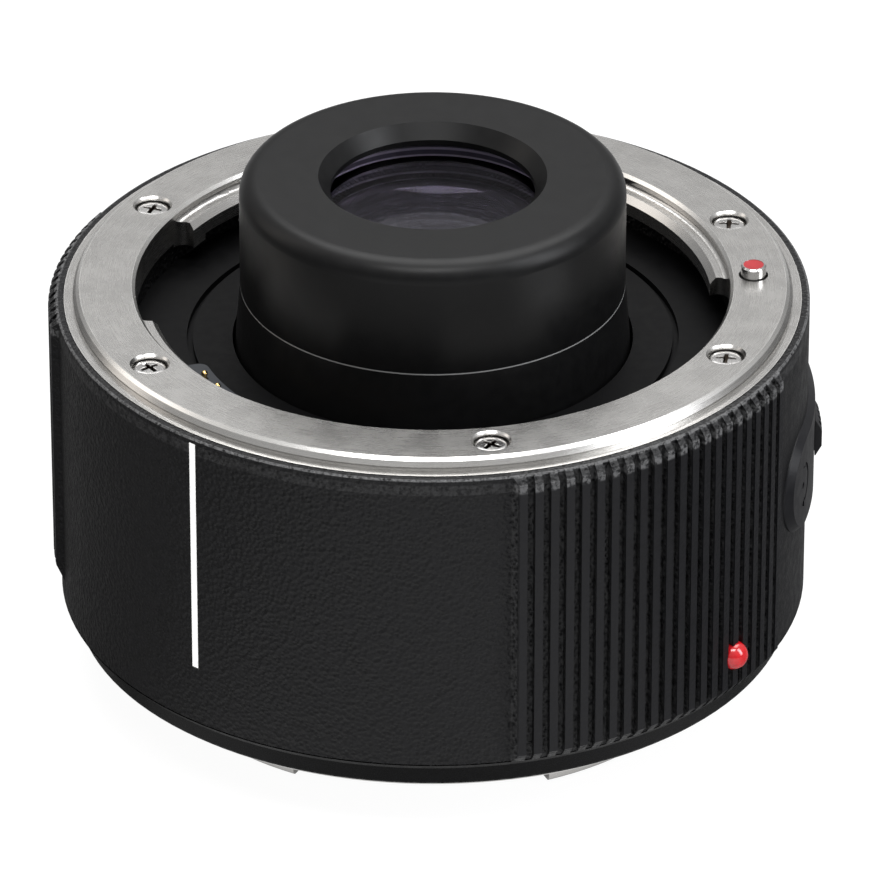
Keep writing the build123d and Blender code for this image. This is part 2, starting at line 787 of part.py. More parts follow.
def release_plate():
    """Oval plate round the slider: a bevelled rim on the barrel and a spigot in the barrel's window."""
    rim = stadium_block(plate_length, plate_height, barrel_radius / 2, knob_radius)
    rim = rim & ring(barrel_radius, plate_radius, 0, flange_height)
    outer = [edge for edge in rim.edges() if abs(radial_distance(edge) - plate_radius) < seat_gap]
    rim = chamfer(outer, plate_rim_bevel)
    spigot = stadium_block(spigot_length, spigot_height, barrel_radius / 2, knob_radius)
    spigot = spigot & ring(wall_inner_radius, barrel_radius + seat_gap, 0, flange_height)
    body = rim + spigot
    middle = knob_middle_azimuth()
    reach = stem_angle / 2 + degrees(run_gap / barrel_radius)
    body -= sector(
        wall_inner_radius - cut_over, knob_radius, middle - slide_angle - reach, middle + reach,
        release_height - stem_height / 2 - run_gap, release_height + stem_height / 2 + run_gap,
    )
    for azimuth in (-plate_screw_angle, plate_screw_angle):
        body -= plate_screw_place(azimuth) * Cylinder(
            small_shank_radius + seat_gap, 2 * plate_screw_length() + 2 * seat_gap
        )
    return cut_all(body, arrow_cutters())


def radial_distance(edge):
    middle = edge @ 0.5
    return sqrt(middle.X ** 2 + middle.Y ** 2)


def arrow_cutters():
    """A shallow direction mark: an arc with a pointed end, and a dot."""
    depth = plate_radius - arrow_groove_depth
    half = arrow_groove_width / 2
    place = Rot(0, 0, arrow_azimuth) * Pos(depth, 0, release_height)
    arc = Plane.YZ * (Circle(arrow_radius + half) - Circle(arrow_radius - half))
    window = Plane.YZ * Pos(arrow_radius, 0) * Rectangle(2 * arrow_radius, 2 * arrow_radius)
    tip = Plane.YZ * Pos(half, -arrow_radius) * Rot(0, 0, 180) * RegularPolygon(3 * half, 3)
    dot = Plane.YZ * Circle(arrow_dot_radius)
    return [place * extrude(shape, cut_over) for shape in (arc & window, tip, dot)]


def knob_middle_azimuth():
    return knob_first_azimuth + knob_angle / 2


def plate_screw_seat():
    return sqrt(wall_inner_radius ** 2 - plate_screw_head_radius ** 2)


def plate_screw_place(azimuth):
    return polar(plate_screw_seat(), azimuth, release_height) * Rot(0, -90, 0)


def plate_screw_length():
    return plate_radius - plate_screw_seat() - 2 * tip_gap


def release_plate_screws():
    return group(
        plate_screw_place(azimuth)
        * screw(plate_screw_head_radius, small_head_height, small_shank_radius, plate_screw_length())
        for azimuth in (-plate_screw_angle, plate_screw_angle)
    )


def release_knob():
    """Thumb knob on the plate, with upright grooves, and the stem that goes through the slot."""
    low = release_height - knob_height / 2
    high = release_height + knob_height / 2
    base = plate_radius + run_gap
    first = knob_first_azimuth
    last = knob_first_azimuth + knob_angle
    cap = turned_part(
        first, last,
        (base, low), (knob_radius - knob_bevel_width, low), (knob_radius, low + knob_bevel_height),
        (knob_radius, high - knob_bevel_height), (knob_radius - knob_bevel_width, high), (base, high),
    )
    for index in range(knob_groove_count):
        azimuth = first + knob_angle * (index + 1) / (knob_groove_count + 1)
        groove = Box(2 * knob_groove_depth, knob_groove_width, knob_height + 2 * cut_over)
        cap -= polar(knob_radius, azimuth, release_height) * groove
    middle = knob_middle_azimuth()
    half = stem_height / 2
    stem = sector(
        slider_outer_radius(), base + seat_gap, middle - stem_angle / 2, middle + stem_angle / 2,
        release_height - half, release_height + half,
    )
    screw_hole = polar(slider_outer_radius() - cut_over, middle, release_height) * Rot(0, 90, 0) * Cylinder(
        small_shank_radius + seat_gap, cut_over + knob_screw_depth() + seat_gap, align=standing
    )
    return cap + stem - screw_hole


def slider_outer_radius():
    return wall_inner_radius - run_gap


def knob_screw_depth():
    return knob_radius - knob_groove_depth - slider_outer_radius() - 2 * tip_gap


def ramp_cutter():
    """The space under the ramp: a slope that drops by the lock travel over the slide angle."""
    contact = lock_circle + (ramp_inner_reach + cross_pin_reach) / 2
    run = contact * sin(radians(slide_angle))
    slope = atan(lock_travel / run)
    above = (cross_pin_radius + ramp_gap) / cos(slope)
    size = 2 * run
    block = Pos(0, 0, -size / 2) * Box(2 * size, 2 * size, size)
    return polar(contact, lock_azimuth, cross_pin_height + above) * Rot(-degrees(slope), 0, 0) * block


def release_slider():
    """Curved plate inside the barrel wall, with an upright tab whose ramp pushes the cross pin down."""
    outer = slider_outer_radius()
    inner = outer - slider_thickness
    low = release_height - slider_height / 2
    high = release_height + slider_height / 2
    tab_first = lock_azimuth - ramp_angle_margin
    tab_last = lock_azimuth + slide_angle + ramp_angle_margin
    tab_top = lock_body_top - cross_pin_radius
    body = sector(inner, outer, slider_first_azimuth, slider_last_azimuth, low, high)
    body += sector(inner, outer, tab_first, tab_last, high - cut_over, tab_top)
    ramp = sector(
        lock_circle + ramp_inner_reach, inner + seat_gap, tab_first, tab_last,
        cross_pin_height - lock_travel, tab_top,
    )
    body += ramp - ramp_cutter()
    hole = polar(inner - cut_over, knob_middle_azimuth(), release_height) * Rot(0, 90, 0) * Cylinder(
        small_shank_radius + seat_gap, slider_thickness + 2 * cut_over, align=standing
    )
    return body - hole


def knob_screw():
    inner = slider_outer_radius() - slider_thickness
    place = polar(inner - seat_gap, knob_middle_azimuth(), release_height) * Rot(0, -90, 0)
    return place * small_screw(slider_thickness + knob_screw_depth())


def contact_azimuths():
    first = contact_centre_azimuth - contact_pitch_angle * (contact_count - 1) / 2
    return [first + index * contact_pitch_angle for index in range(contact_count)]


def contact_levels():
    """Heights of a contact pin: tip, top of the collar, foot of the collar and foot of the tail."""
    tip = flange_height - contact_tip_drop
    collar_foot = block_foot + contact_spring_length
    collar_top = collar_foot + contact_collar_height
    tail_foot = block_foot + contact_travel + seat_gap
    return tip, collar_top, collar_foot, tail_foot


def contact_pins():
    tip, collar_top, collar_foot, tail_foot = contact_levels()
    pin = rod(contact_pin_radius, collar_top, tip - contact_pin_radius)
    pin += Pos(0, 0, tip - contact_pin_radius) * Sphere(contact_pin_radius)
    pin += rod(contact_collar_radius, collar_foot, collar_top)
    pin += rod(contact_tail_radius, tail_foot, collar_foot)
    return group(polar(contact_circle, azimuth) * pin for azimuth in contact_azimuths())


def contact_springs():
    tip, collar_top, collar_foot, tail_foot = contact_levels()
    radius = contact_collar_radius - contact_spring_wire / 2
    coil = spring(radius, contact_spring_wire, contact_spring_turns, block_foot, collar_foot)
    return group(polar(contact_circle, azimuth) * coil for azimuth in contact_azimuths())


def block_screw_places():
    radius = (block_inner_radius + block_outer_radius) / 2
    half = block_flange_angle / 2
    return [polar(radius, block_first_azimuth - half), polar(radius, block_last_azimuth + half)]


def front_contact_block():
    tip, collar_top, collar_foot, tail_foot = contact_levels()
    body = sector(
        block_inner_radius, block_outer_radius, block_first_azimuth, block_last_azimuth,
        block_flange_top - seat_gap, block_top,
    )
    uprights = body.edges().filter_by(Axis.Z)
    corners = [edge for edge in uprights if abs(radial_distance(edge) - block_inner_radius) < seat_gap]
    body = fillet(corners, block_corner)
    body += sector(
        block_inner_radius - block_flange_reach, block_outer_radius + block_flange_reach,
        block_first_azimuth - block_flange_angle, block_last_azimuth + block_flange_angle,
        block_foot, block_flange_top,
    )
    chamber = rod(contact_collar_radius + contact_chamber_gap, block_foot - cut_over, collar_top + seat_gap)
    chamber += rod(contact_pin_radius + run_gap, block_foot, block_top + cut_over)
    for azimuth in contact_azimuths():
        body -= polar(contact_circle, azimuth) * chamber
    for place in block_screw_places():
        body -= place * small_hole(block_foot - cut_over, block_flange_top + cut_over)
    return body


def contact_board():
    body = sector(
        block_inner_radius - block_flange_reach, block_outer_radius + block_flange_reach,
        block_first_azimuth - block_flange_angle, block_last_azimuth + block_flange_angle,
        contact_board_foot, block_foot,
    )
    for place in block_screw_places():
        body -= place * small_hole(contact_board_foot - cut_over, block_foot + cut_over)
    return body


def contact_block_screws():
    length = contact_board_thickness + block_flange_height + floor_thickness - 2 * tip_gap
    return group(
        place * Pos(0, 0, contact_board_foot) * Rot(180, 0, 0) * small_screw(length)
        for place in block_screw_places()
    )


def nose():
    collar_foot = nose_top - nose_lip - nose_collar_height
    bend = nose_fillet * (1 - cos(radians(45)))
    lines = Polyline(
        (nose_radius - nose_fillet, 0, nose_top),
        (nose_opening_top_radius, 0, nose_top),
        (nose_opening_radius, 0, nose_top - nose_opening_depth),
        (nose_opening_radius, 0, nose_top - nose_lip),
        (cell_radius + seat_gap, 0, nose_top - nose_lip),
        (cell_radius + seat_gap, 0, collar_foot),
        (nose_inner_radius, 0, collar_foot),
        (nose_inner_radius, 0, nose_base),
        (nose_radius, 0, nose_base),
        (nose_radius, 0, nose_top - nose_fillet),
    )
    corner = ThreePointArc(
        (nose_radius, 0, nose_top - nose_fillet),
        (nose_radius - bend, 0, nose_top - bend),
        (nose_radius - nose_fillet, 0, nose_top),
    )
    return revolve(make_face(Wire([*lines.edges(), *corner.edges()])), Axis.Z)


def nose_sleeve():
    return turned(
        (sleeve_inner_radius, cell_flange_top),
        (sleeve_foot_radius, cell_flange_top),
        (sleeve_foot_radius, shoulder_foot),
        (sleeve_top_radius, nose_base),
        (nose_inner_radius, nose_base),
        (nose_inner_radius, nose_base - nose_fillet),
        (sleeve_inner_radius, nose_base - nose_fillet),
    )


def lens_cell():
    body = turned(
        (cell_bore_radius, cell_foot),
        (cell_spigot_radius, cell_foot),
        (cell_spigot_radius, chassis_top),
        (cell_flange_radius, chassis_top),
        (cell_flange_radius, cell_flange_top),
        (cell_radius, cell_flange_top),
        (cell_radius, cell_top),
        (cell_bore_radius, cell_top),
        (cell_bore_radius, shelf_top()),
        (cell_shelf_radius, shelf_top()),
        (cell_shelf_radius, shelf_foot()),
        (cell_bore_radius, shelf_foot()),
    )
    for azimuth in cell_screw_azimuths:
        body -= polar(cell_screw_circle, azimuth) * small_hole(chassis_top - cut_over, cell_flange_top + cut_over)
    return body


def front_stack_levels():
    """Flat edges of the front groups, from the retainer down to the shelf."""
    levels = [cell_top - front_retainer_height]
    for height in (element_1_edge, element_2_edge, front_spacer_height, element_3_edge, element_4_edge,
                   element_5_edge):
        levels.append(levels[-1] - height)
    return levels


def rear_stack_levels():
    """Flat edges of the rear groups, from the rear retainer up to the long spacer."""
    levels = [cell_foot + rear_retainer_sink + rear_retainer_height]
    for height in (element_8_edge, rear_spacer_height, element_7_edge, element_6_edge):
        levels.append(levels[-1] + height)
    return levels


def shelf_top():
    return front_stack_levels()[-1]


def shelf_foot():
    return shelf_top() - cell_shelf_thickness


def cap_edges(level, bulge, clear):
    """A spherical surface from the axis to the clear radius; bulge is its height above the level."""
    bend = (clear ** 2 + bulge ** 2) / (2 * abs(bulge))
    drop = bend - sqrt(bend ** 2 - clear ** 2 / 4)
    side = 1 if bulge > 0 else -1
    apex = level + bulge
    return ThreePointArc((0, 0, apex), (clear / 2, 0, apex - side * drop), (clear, 0, level))


def element(low, high, upper_bulge, lower_bulge):
    """One glass element between two flat edges; a bulge is positive where the glass swells outwards."""
    edge = cell_bore_radius - glass_edge_gap
    upper = cap_edges(high, upper_bulge, glass_clear_radius)
    lower = cap_edges(low, -lower_bulge, glass_clear_radius)
    side = Polyline(
        (glass_clear_radius, 0, high), (edge, 0, high), (edge, 0, low), (glass_clear_radius, 0, low)
    )
    axis_line = Line((0, 0, low - lower_bulge), (0, 0, high + upper_bulge))
    outline = make_face(Wire([*upper.edges(), *side.edges(), *lower.edges(), *axis_line.edges()]))
    return revolve(outline, Axis.Z)


def glass_elements():
    front = front_stack_levels()
    rear = rear_stack_levels()
    return {
        "lens_element_1": element(front[1], front[0], element_1_front_bulge, cement_1_2_bulge),
        "lens_element_2": element(front[2], front[1], -cement_1_2_bulge, element_2_rear_bulge),
        "lens_element_3": element(front[4], front[3], element_3_front_bulge, cement_3_4_bulge),
        "lens_element_4": element(front[5], front[4], -cement_3_4_bulge, cement_4_5_bulge),
        "lens_element_5": element(front[6], front[5], -cement_4_5_bulge, element_5_rear_bulge),
        "lens_element_6": element(rear[3], rear[4], element_6_front_bulge, cement_6_7_bulge),
        "lens_element_7": element(rear[2], rear[3], -cement_6_7_bulge, element_7_rear_bulge),
        "lens_element_8": element(rear[0], rear[1], element_8_front_bulge, element_8_rear_bulge),
    }


def spacer(low, high):
    return ring(cell_shelf_radius, cell_bore_radius - seat_gap, low, high)


def retainer(low, high, slots_up):
    body = spacer(low, high)
    middle = high if slots_up else low
    slot = Box(3 * cell_bore_radius, retainer_slot_width, 2 * retainer_slot_share * (high - low))
    return body - Pos(0, 0, middle) * slot


def optical_rings():
    front = front_stack_levels()
    rear = rear_stack_levels()
    return {
        "front_retaining_ring": retainer(front[0], cell_top, True),
        "front_spacer_ring": spacer(front[3], front[2]),
        "long_spacer_tube": spacer(rear[4], shelf_foot()),
        "rear_spacer_ring": spacer(rear[1], rear[2]),
        "rear_retaining_ring": retainer(rear[0] - rear_retainer_height, rear[0], False),
    }


def cell_screws():
    length = cell_flange_thickness + chassis_plate_thickness - tip_gap
    return group(
        polar(cell_screw_circle, azimuth, cell_flange_top) * small_screw(length)
        for azimuth in cell_screw_azimuths
    )


def rear_cover_ring():
    flange_edge = camera_flange_radius + seat_gap
    return turned(
        (flange_edge, cover_foot_drop),
        (cover_foot_radius, cover_foot_drop),
        (barrel_radius - cover_bevel_width, cover_joint_height - cover_bevel_height),
        (barrel_radius, cover_joint_height),
        (wall_inner_radius - seat_gap, cover_joint_height),
        (wall_inner_radius - seat_gap, chassis_plate_foot),
        (cover_lip_radius, chassis_plate_foot),
        (cover_lip_radius, camera_flange_thickness),
        (flange_edge, camera_flange_thickness),
    )


def flex_window(inner_radius, low, high):
    margin = degrees(open_gap / inner_radius)
    return sector(
        inner_radius - open_gap, inner_radius + flex_thickness + open_gap,
        flex_first_azimuth - margin, flex_last_azimuth + margin, low, high,
    )


def chassis_ring():
    body = ring(chassis_bore_radius, wall_inner_radius - seat_gap, chassis_plate_foot, chassis_top)
    for azimuth in board_post_azimuths:
        body += polar(board_post_circle, azimuth) * rod(board_post_radius, chassis_plate_foot, board_foot)
    for azimuth in board_post_azimuths:
        body -= polar(board_post_circle, azimuth) * small_hole(chassis_top, board_foot + cut_over)
    for azimuth in chassis_screw_azimuths:
        body -= polar(chassis_screw_circle, azimuth) * small_hole(
            chassis_plate_foot - cut_over, chassis_top + cut_over
        )
    for azimuth in camera_screw_azimuths:
        body -= polar(camera_screw_circle, azimuth) * camera_screw_hole()
    for azimuth in cell_screw_azimuths:
        body -= polar(cell_screw_circle, azimuth) * small_hole(chassis_plate_foot - cut_over, chassis_top + cut_over)
    for azimuth in baffle_screw_azimuths:
        body -= polar(baffle_screw_circle, azimuth) * small_hole(
            chassis_plate_foot - cut_over, chassis_top + cut_over
        )
    return body - flex_window(rear_flex_radius, chassis_plate_foot - cut_over, chassis_top + cut_over)


def mount_spacer_ring():
    """Ring clamped between the chassis ring and the camera mount, with room for the chassis screws' heads."""
    outer = cover_lip_radius - seat_gap
    body = ring(outer - spacer_width, outer, camera_flange_thickness, chassis_plate_foot)
    for azimuth in chassis_screw_azimuths:
        body -= polar(chassis_screw_circle, azimuth) * rod(
            small_head_radius + open_gap, camera_flange_thickness - cut_over, chassis_plate_foot + cut_over
        )
    for azimuth in camera_screw_azimuths:
        body -= polar(camera_screw_circle, azimuth) * camera_screw_hole()
    return body


def chassis_screws():
    length = chassis_plate_thickness + foot_ledge_thickness - tip_gap
    return group(
        polar(chassis_screw_circle, azimuth, chassis_plate_foot) * Rot(180, 0, 0) * small_screw(length)
        for azimuth in chassis_screw_azimuths
    )


def camera_screw_hole():
    return rod(
        mount_screw_shank_radius + seat_gap, -cut_over, chassis_top - tip_gap
    )


def camera_mount_ring():
    tube_foot = -camera_tube_length
    body = turned(
        (camera_tube_inner_radius, tube_foot),
        (camera_tube_radius - camera_tube_chamfer, tube_foot),
        (camera_tube_radius, tube_foot + camera_tube_chamfer),
        (camera_tube_radius, 0),
        (camera_flange_radius - camera_flange_chamfer, 0),
        (camera_flange_radius, camera_flange_chamfer),
        (camera_flange_radius, camera_flange_thickness),
        (camera_tube_inner_radius, camera_flange_thickness),
    )
    lug_top = -camera_lug_top_drop
    lug_foot = lug_top - camera_lug_thickness
    for first, last in camera_lug_arcs:
        body += turned_part(
            first, last,
            (camera_tube_inner_radius + camera_lug_chamfer, lug_foot),
            (camera_lug_radius - camera_lug_chamfer, lug_foot),
            (camera_lug_radius, lug_foot + camera_lug_chamfer),
            (camera_lug_radius, lug_top - camera_lug_chamfer),
            (camera_lug_radius - camera_lug_chamfer, lug_top),
            (camera_tube_inner_radius + camera_lug_chamfer, lug_top),
        )
    margin = degrees(seat_gap / block_inner_radius)
    body -= sector(
        camera_tube_inner_radius - cut_over, rear_block_outer_radius + seat_gap,
        block_first_azimuth - margin, block_last_azimuth + margin,
        tube_foot - cut_over, camera_flange_thickness + cut_over,
    )
    head_room = camera_screw_sink + mount_screw_head_height
    for azimuth in camera_screw_azimuths:
        body -= polar(camera_screw_circle, azimuth) * (
            camera_screw_hole() + rod(mount_screw_head_radius + mount_pocket_gap, -cut_over, head_room)
        )
    for place in rear_ear_places():
        body -= place * small_hole(tip_gap, camera_flange_thickness + cut_over)
    return body - polar(lock_circle, lock_azimuth) * rod(
        camera_lock_hole_radius, -cut_over, camera_flange_thickness + cut_over
    )


def camera_mount_screws():
    seat = camera_screw_sink + mount_screw_head_height
    length = chassis_top - seat - 2 * tip_gap
    return group(
        polar(camera_screw_circle, azimuth, seat) * Rot(180, 0, 0)
        * screw(mount_screw_head_radius, mount_screw_head_height, mount_screw_shank_radius, length)
        for azimuth in camera_screw_azimuths
    )


def rear_ear_places():
    half = rear_ear_angle / 2
    radius = rear_ear_circle()
    return [polar(radius, block_first_azimuth - half), polar(radius, block_last_azimuth + half)]


def rear_ear_circle():
    return (block_inner_radius + rear_block_outer_radius + rear_ear_reach) / 2


def rear_contact_block():
    low = -pad_drop
    body = sector(
        block_inner_radius, rear_block_outer_radius, block_first_azimuth, block_last_azimuth,
        low, camera_flange_thickness + seat_gap,
    )
    body += sector(
        block_inner_radius, rear_block_outer_radius + rear_ear_reach,
        block_first_azimuth - rear_ear_angle, block_last_azimuth + rear_ear_angle,
        camera_flange_thickness, camera_flange_thickness + rear_block_flange_height,
    )
    for pad in contact_pad_solids():
        body -= pad
    for place in rear_ear_places():
        body -= place * small_hole(
            camera_flange_thickness - cut_over, camera_flange_thickness + rear_block_flange_height + cut_over
        )
    return body


def contact_pad_solids():
    pad = Box(pad_length, pad_width, pad_thickness, align=standing)
    return [polar(contact_circle, azimuth, -pad_drop) * pad for azimuth in contact_azimuths()]


def rear_contact_screws():
    high = camera_flange_thickness + rear_block_flange_height
    length = high - 2 * tip_gap
    return group(place * Pos(0, 0, high) * small_screw(length) for place in rear_ear_places())


def rear_light_baffle():
    plate_foot = chassis_plate_foot - baffle_plate_thickness
    body = ring(baffle_opening_radius, camera_tube_inner_radius - seat_gap, plate_foot, chassis_plate_foot)
    for azimuth in baffle_screw_azimuths:
        body -= polar(baffle_screw_circle, azimuth) * small_hole(plate_foot - cut_over, chassis_plate_foot + cut_over)
    return body


def throat_liner():
    outer = camera_tube_inner_radius - seat_gap
    return ring(outer - liner_wall, outer, -liner_drop, chassis_plate_foot - baffle_plate_thickness)


def baffle_screws():
    plate_foot = chassis_plate_foot - baffle_plate_thickness
    length = baffle_plate_thickness + chassis_plate_thickness - tip_gap
    return group(
        polar(baffle_screw_circle, azimuth, plate_foot) * Rot(180, 0, 0) * small_screw(length)
        for azimuth in baffle_screw_azimuths
    )


def circuit_board():
    body = sector(
        board_inner_radius, board_outer_radius, board_first_azimuth, board_last_azimuth, board_foot, board_top
    )
    for azimuth in board_post_azimuths:
        body -= polar(board_post_circle, azimuth) * small_hole(board_foot - cut_over, board_top + cut_over)
    return body


def board_screws():
    length = board_thickness + board_post_height - 2 * tip_gap
    return group(
        polar(board_post_circle, azimuth, board_top) * small_screw(length) for azimuth in board_post_azimuths
    )


def board_chips():
    chip = Box(chip_width, chip_length, chip_height, align=standing)
    return group(polar(chip_circle, azimuth, board_top) * chip for azimuth in chip_azimuths)


def flex_connectors():
    """Sockets on the board that hold the ends of the two flat cables."""
    margin = degrees(connector_depth / front_flex_radius / 2)
    sockets = []
    for radius, low, high in (
        (front_flex_radius, board_top, board_top + connector_height),
        (rear_flex_radius + flex_thickness, board_foot - connector_height, board_foot),
    ):
        first = flex_first_azimuth - margin
        last = flex_last_azimuth + margin
        sockets.append(sector(radius, radius + connector_depth, first, last, low, high))
    return group(sockets)


def front_flex_cable():
    return sector(
        front_flex_radius - flex_thickness, front_flex_radius, flex_first_azimuth, flex_last_azimuth,
        board_top, contact_board_foot,
    )


def rear_flex_cable():
    return sector(
        rear_flex_radius, rear_flex_radius + flex_thickness, flex_first_azimuth, flex_last_azimuth,
        camera_flange_thickness + rear_block_flange_height, board_foot,
    )


parts = {
    "main_barrel": main_barrel(),
    "index_line": index_line_solid(line_depth),
    "index_dot": index_dot(),
    "release_plate": release_plate(),
    "release_plate_screws": release_plate_screws(),
    "lens_mount_ring": lens_mount_ring(),
    "lens_mount_screws": lens_mount_screws(),
    "mount_shim_ring": mount_shim(),
    "mount_leaf_springs": leaf_springs(),
    "floor_plate": floor_plate(),
    "floor_screws": floor_screws(),
    "lock_pin_bracket": lock_pin_bracket(),
    "bracket_screws": bracket_screws(),
    "lock_pin_spring": lock_pin_spring(),
    "front_contact_block": front_contact_block(),
    "contact_board": contact_board(),
    "contact_block_screws": contact_block_screws(),
    "contact_springs": contact_springs(),
    "front_nose": nose(),
    "nose_sleeve": nose_sleeve(),
    "lens_cell": lens_cell(),
    "lens_cell_screws": cell_screws(),
    "rear_cover_ring": rear_cover_ring(),
    "chassis_ring": chassis_ring(),
    "mount_spacer_ring": mount_spacer_ring(),
    "chassis_screws": chassis_screws(),
    "camera_mount_ring": camera_mount_ring(),
    "camera_mount_screws": camera_mount_screws(),
    "rear_contact_block": rear_contact_block(),
    "rear_contact_pads": group(contact_pad_solids()),
    "rear_contact_screws": rear_contact_screws(),
    "rear_light_baffle": rear_light_baffle(),
    "throat_liner": throat_liner(),
    "baffle_screws": baffle_screws(),
    "circuit_board": circuit_board(),
    "board_screws": board_screws(),
    "board_chips": board_chips(),
    "flex_connectors": flex_connectors(),
    "flex_cables": group([front_flex_cable(), rear_flex_cable()]),
    "release_knob": release_knob(),
    "release_slider": release_slider(),
    "knob_screw": knob_screw(),
    "lock_pin": lock_pin(),
    "lock_pin_enamel": lock_pin_enamel(),
    "lock_cross_pin": cross_pin(),
    "contact_pins": contact_pins(),
    **glass_elements(),
    **optical_rings(),
}

for name, shape in parts.items():
    export_step(shape, f"parts/{name}.step")
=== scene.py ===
import json
import math
import bmesh
import bpy
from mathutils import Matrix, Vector


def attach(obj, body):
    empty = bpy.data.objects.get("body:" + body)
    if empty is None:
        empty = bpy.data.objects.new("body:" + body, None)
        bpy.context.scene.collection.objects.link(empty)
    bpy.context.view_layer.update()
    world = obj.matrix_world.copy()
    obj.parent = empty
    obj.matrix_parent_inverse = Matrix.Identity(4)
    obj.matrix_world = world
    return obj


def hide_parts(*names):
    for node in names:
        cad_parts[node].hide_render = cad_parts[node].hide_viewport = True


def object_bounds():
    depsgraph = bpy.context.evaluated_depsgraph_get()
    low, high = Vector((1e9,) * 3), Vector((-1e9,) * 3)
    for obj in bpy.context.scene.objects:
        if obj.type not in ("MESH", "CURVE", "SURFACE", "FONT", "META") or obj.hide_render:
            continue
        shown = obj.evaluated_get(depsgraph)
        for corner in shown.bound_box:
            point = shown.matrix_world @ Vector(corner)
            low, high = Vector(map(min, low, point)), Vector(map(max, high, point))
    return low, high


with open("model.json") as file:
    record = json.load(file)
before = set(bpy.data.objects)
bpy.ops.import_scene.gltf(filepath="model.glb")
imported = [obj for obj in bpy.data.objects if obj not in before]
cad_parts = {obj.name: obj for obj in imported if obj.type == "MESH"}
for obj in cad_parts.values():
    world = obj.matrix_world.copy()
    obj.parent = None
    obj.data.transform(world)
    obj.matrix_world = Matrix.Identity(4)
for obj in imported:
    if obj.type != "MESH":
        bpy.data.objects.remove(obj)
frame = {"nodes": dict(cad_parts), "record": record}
cadLow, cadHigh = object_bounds()
mm = 0.001
print("frame loaded:", len(frame["nodes"]), "pieces")


# small helpers for node trees

def addNode(tree, kind, inputs=None, **settings):
    node = tree.nodes.new(kind)
    for name, value in settings.items():
        setattr(node, name, value)
    for name, value in (inputs or {}).items():
        if isinstance(value, bpy.types.NodeSocket):
            tree.links.new(value, node.inputs[name])
        else:
            node.inputs[name].default_value = value
    return node


def calc(tree, operation, *values):
    return addNode(tree, "ShaderNodeMath", dict(enumerate(values)), operation=operation).outputs[0]


def plus(tree, first, second):
    return calc(tree, "ADD", first, second)


def minus(tree, first, second):
    return calc(tree, "SUBTRACT", first, second)


def times(tree, first, second):
    return calc(tree, "MULTIPLY", first, second)


def over(tree, first, second):
    return calc(tree, "DIVIDE", first, second)


def larger(tree, first, second):
    return calc(tree, "MAXIMUM", first, second)


def flatLength(tree, across, along):
    return calc(tree, "SQRT", plus(tree, times(tree, across, across), times(tree, along, along)))


def remap(tree, value, fromLow, fromHigh, toLow=0.0, toHigh=1.0):
    inputs = {"Value": value, "From Min": fromLow, "From Max": fromHigh, "To Min": toLow, "To Max": toHigh}
    return addNode(tree, "ShaderNodeMapRange", inputs, interpolation_type="SMOOTHSTEP").outputs[0]


def noise(tree, spot, scale, detail, roughness=0.5):
    inputs = {"Vector": spot, "Scale": scale, "Detail": detail, "Roughness": roughness}
    return addNode(tree, "ShaderNodeTexNoise", inputs).outputs[0]


def blend(tree, factor, first, second):
    return addNode(tree, "ShaderNodeMix", {0: factor, 2: first, 3: second}).outputs[0]


def blendColor(tree, factor, first, second):
    return addNode(tree, "ShaderNodeMix", {0: factor, 6: first, 7: second}, data_type="RGBA").outputs[2]


def rgb(red, green, blue):
    return red, green, blue, 1.0


def gray(tone):
    return rgb(tone, tone, tone)


def newGroup(name, inputs, outputs):
    tree = bpy.data.node_groups.new(name, "ShaderNodeTree")
    for label, default in inputs.items():
        socket = tree.interface.new_socket(label, in_out="INPUT", socket_type="NodeSocketFloat")
        socket.default_value = default
    for label in outputs:
        tree.interface.new_socket(label, in_out="OUTPUT", socket_type="NodeSocketFloat")
    return tree, tree.nodes.new("NodeGroupInput").outputs, tree.nodes.new("NodeGroupOutput").inputs


# effects that several finishes share; lengths are millimetres, azimuths degrees from +X

toneSpan = (0.35, 0.65)     # noise from here to there runs from the dark tone to the light one
wholeTurn = {"First_Azimuth": -180.0, "Last_Azimuth": 180.0}


# where the shaded point lies round the optical axis
def polarPlaces(tree):
    spot = addNode(tree, "ShaderNodeTexCoord").outputs["Object"]
    scaled = addNode(tree, "ShaderNodeVectorMath", {0: spot, "Scale": 1 / mm}, operation="SCALE").outputs[0]
    x, y, z = addNode(tree, "ShaderNodeSeparateXYZ", {0: scaled}).outputs
    azimuth = calc(tree, "DEGREES", calc(tree, "ARCTAN2", y, x))
    return {"spot": scaled, "radius": flatLength(tree, x, y), "azimuth": azimuth, "height": z}


grainInside = {
    "smoothness": 0.6, "fineDetail": 2.0, "fineRoughness": 0.6, "cloudScale": 0.9, "cloudDetail": 3.0,
    "cloudShare": 0.5,
}


def makeGrain(look):
    names = {"Pebble": 0.35, "Fine": 0.12, "Sharpness": 0.5}
    tree, given, wanted = newGroup("paintGrain", names, ["Height", "Tone"])
    spot = polarPlaces(tree)["spot"]
    pebble = addNode(tree, "ShaderNodeTexVoronoi", {
        "Vector": spot, "Scale": over(tree, 1.0, given["Pebble"]), "Smoothness": look["smoothness"],
    }, feature="SMOOTH_F1").outputs["Distance"]
    fine = noise(tree, spot, over(tree, 1.0, given["Fine"]), look["fineDetail"], look["fineRoughness"])
    cloud = noise(tree, spot, look["cloudScale"], look["cloudDetail"])
    sharpness, share = given["Sharpness"], look["cloudShare"]
    mixed = plus(tree, times(tree, pebble, sharpness), times(tree, fine, minus(tree, 1.0, sharpness)))
    tone = plus(tree, times(tree, cloud, share), times(tree, fine, 1 - share))
    tree.links.new(mixed, wanted["Height"])
    tree.links.new(remap(tree, tone, *toneSpan), wanted["Tone"])
    return tree


streaksInside = {
    "lineDetail": 4.0, "lineRoughness": 0.7, "cloudScale": 0.35, "cloudDetail": 2.0, "cloudShare": 0.3,
}


